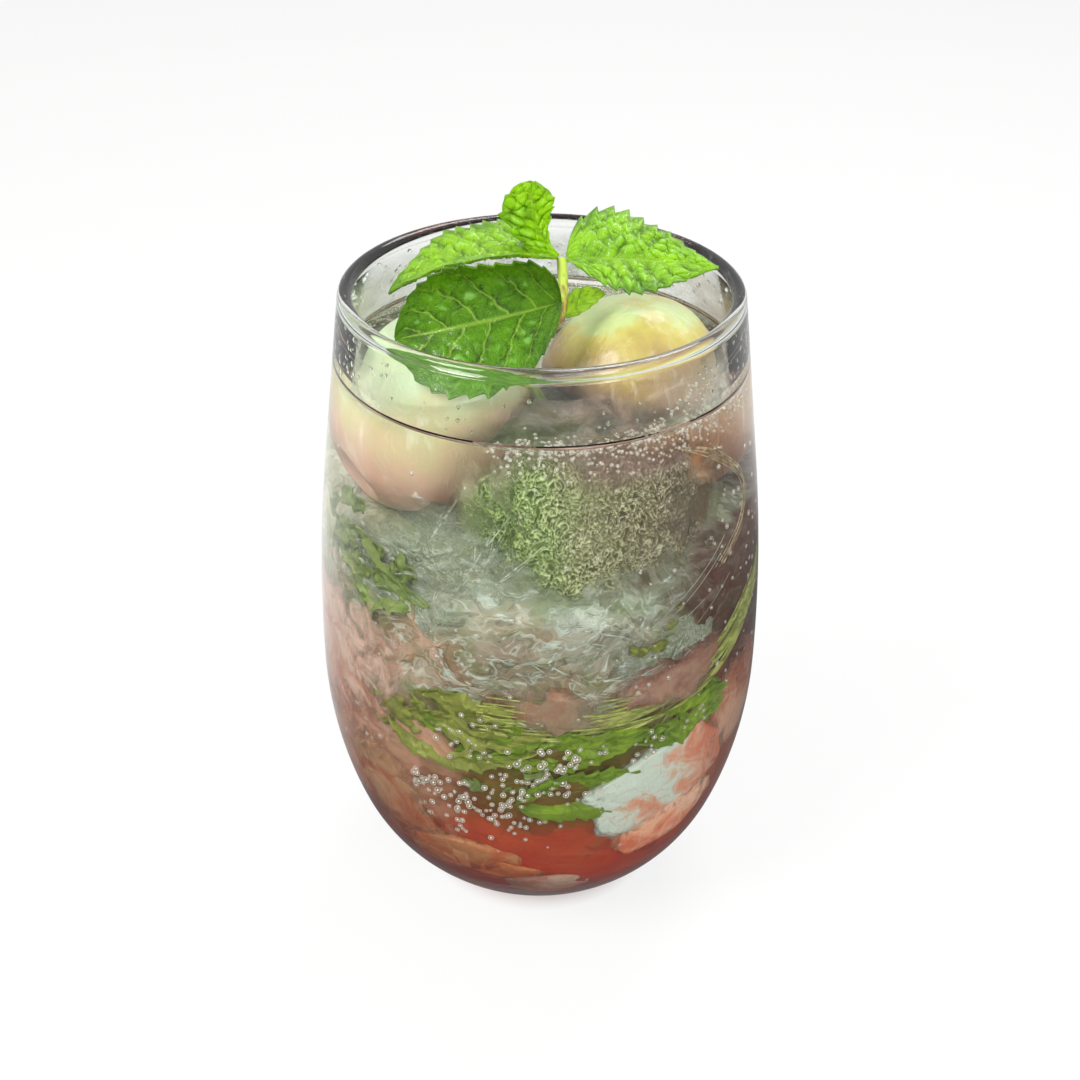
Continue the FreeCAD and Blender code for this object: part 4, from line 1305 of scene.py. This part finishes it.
# copies one small ball to each spot, at its radius, and joins the copies
def scatter(name, segments, rings, spots, finish):
    mould = addPiece(name + "Mould", bpy.ops.mesh.primitive_uv_sphere_add, segments=segments, ring_count=rings,
                     radius=1)
    copies = []
    for place, radius in spots:
        twin = mould.copy()
        twin.data = mould.data.copy()
        scene.collection.objects.link(twin)
        size = Matrix.Diagonal((radius * mm, radius * mm, radius * mm, 1))
        twin.data.transform(Matrix.Translation(place * mm) @ size)
        copies.append(twin)
    dress(joinPieces(copies, name), finish, "fizz")
    bpy.data.objects.remove(mould)


def bubbleSpots():
    spots = []
    for count, turns, heights, radii, depths in bubbleSets:
        for index in range(count):
            radius = random.uniform(*radii) * random.uniform(0.75, 1.0)
            turn, height = random.uniform(*turns), random.uniform(*heights)
            spots.append((wallSpot(turn, height, radius + random.uniform(*depths)), radius))
    return spots


# froth along the surface, thickest at the wall; every third speck hangs lower
def frothSpots():
    spots = []
    for index in range(frothSet["count"]):
        radius = random.uniform(*frothSet["radius"])
        turn = random.uniform(*frothSet["turn" if index % 4 else "backTurn"])
        reach = abs(random.gauss(0, 0.4)) * frothSet["reach"]
        if index % 3:
            spot = wallSpot(turn, level - radius * 0.6, radius + 0.1 + reach)
        else:
            spot = wallSpot(turn, level - radius - reach, radius + 0.15 + random.uniform(0, 0.6))
        spots.append((spot, radius))
    return spots


paintedBubbleShine = bubbleFinish()
bigSpots = [(wallSpot(turn, height, radius + 0.7), radius) for turn, height, radius in bigBubbles]
scatter("bubbles", 10, 6, bubbleSpots(), paintedBubbleShine)
scatter("bigBubbles", 32, 18, bigSpots, airFinish())
scatter("froth", 7, 5, frothSpots(), paintedBubbleShine)
print("bubbles risen")


# where the drink meets the wall: a thin wavy brown line of painted shade for the meniscus, fog, and beads of
# water on the wall above it
edgeShape = {"lift": 1.0, "wave": 0.35, "radius": 0.16, "steps": 72}
mistShape = {"low": 106.8, "high": 117.2, "depth": 0.12, "columns": 180, "rows": 12}
beadSets = [  # count, turn, height and radius
    (60, (-200, -150), (108, 117), (0.18, 0.55)), (40, (-150, -20), (108.5, 116), (0.14, 0.36)),
    (60, (-20, 60), (108, 117), (0.18, 0.50)), (110, (60, 160), (107.5, 117), (0.15, 0.45)),
]


def meniscusShadeFinish():
    finish = Finish("meniscusShadeLine")
    # painted shade: a dark line standing in for the meniscus's refraction
    tone = finish.span(finish.cloud(120.0, 3.0), 0.35, 0.65)
    finish.colour = finish.blend(tone, (112, 76, 66), (176, 148, 132))
    return finish.done(rough=0.2, alpha=0.85)


def mistFinish():
    finish = Finish("wallMist")
    parts = finish.split()
    speck = finish.cloud(1300.0, 3.0, 0.7)
    drift = finish.cloud(90.0, 4.0, 0.6, 0.6, stretch=(1, 1, 1.6))
    back = finish.span(parts["Y"], -0.022, 0.004, 0.12, 1.0)
    cover = finish.times(finish.span(drift, 0.32, 0.62, 0.12, 0.62), back)
    finish.colour = finish.blend(finish.span(speck, 0.4, 0.65), (96, 108, 84), (186, 198, 176))
    # towards the sides the wall is fogged paler: partly real fog and partly painted light over the dark bands at
    # the wall's edges, pinkish on the right for the lychee seen through there
    side = finish.span(finish.size(parts["X"]), 0.017, 0.033)
    finish.paint(side, finish.blend(finish.span(parts["X"], -0.01, 0.01), (226, 238, 212), (216, 206, 192)))
    cover = finish.most(cover, finish.times(side, finish.span(drift, 0.3, 0.65, 0.45, 0.85)))
    finish.emboss(speck, 0.5, 0.0003)
    return finish.done(rough=0.35, alpha=finish.times(cover, finish.span(parts["Z"], 0.1172, 0.1135)))


def beadFinish():
    finish = Finish("waterBead")
    smear = finish.cloud(700.0, 2.0)
    finish.letLampsIn(0.95)
    return finish.done(colour=(0.98, 1.0, 0.98, 1), rough=finish.span(smear, 0.4, 0.8, 0.0, 0.06), ior=1.33,
                       clear=1.0)


def makeEdge():
    points = []
    for step in range(edgeShape["steps"] + 1):
        turn = 360 * step / edgeShape["steps"]
        way = facing(turn, 0)
        lift = edgeShape["lift"] + edgeShape["wave"] * (noise.noise(way * 2.2) + 0.5 * noise.noise(way * 6.0))
        points.append(wallSpot(turn, level + lift, edgeShape["radius"] * 0.6))
    dress(makeStrand("meniscusShadeLine", points, edgeShape["radius"], 1.0, 4), meniscusShadeFinish(), "fizz")


def makeMist():
    mist = addGrid("wallMist", mistShape["columns"], mistShape["rows"])
    for vertex in mist.data.vertices:
        rise = mistShape["low"] + (mistShape["high"] - mistShape["low"]) * (vertex.co.y + 1) / 2
        vertex.co = wallSpot(180 * (vertex.co.x + 1), rise, mistShape["depth"]) * mm
    pickFaces(mist, lambda face: True)
    bpy.ops.mesh.remove_doubles(threshold=0.00001)  # the seam
    bpy.ops.object.mode_set(mode="OBJECT")
    smooth(mist)
    dress(mist, mistFinish(), "fizz")


def beadSpots():
    spots = []
    for count, turns, heights, radii in beadSets:
        for index in range(count):
            radius = random.uniform(*radii)
            spots.append((wallSpot(random.uniform(*turns), random.uniform(*heights), radius * 0.15), radius))
    return spots


makeEdge()
makeMist()
scatter("waterBeads", 9, 6, beadSpots(), beadFinish())
print("surface line and water beads set")
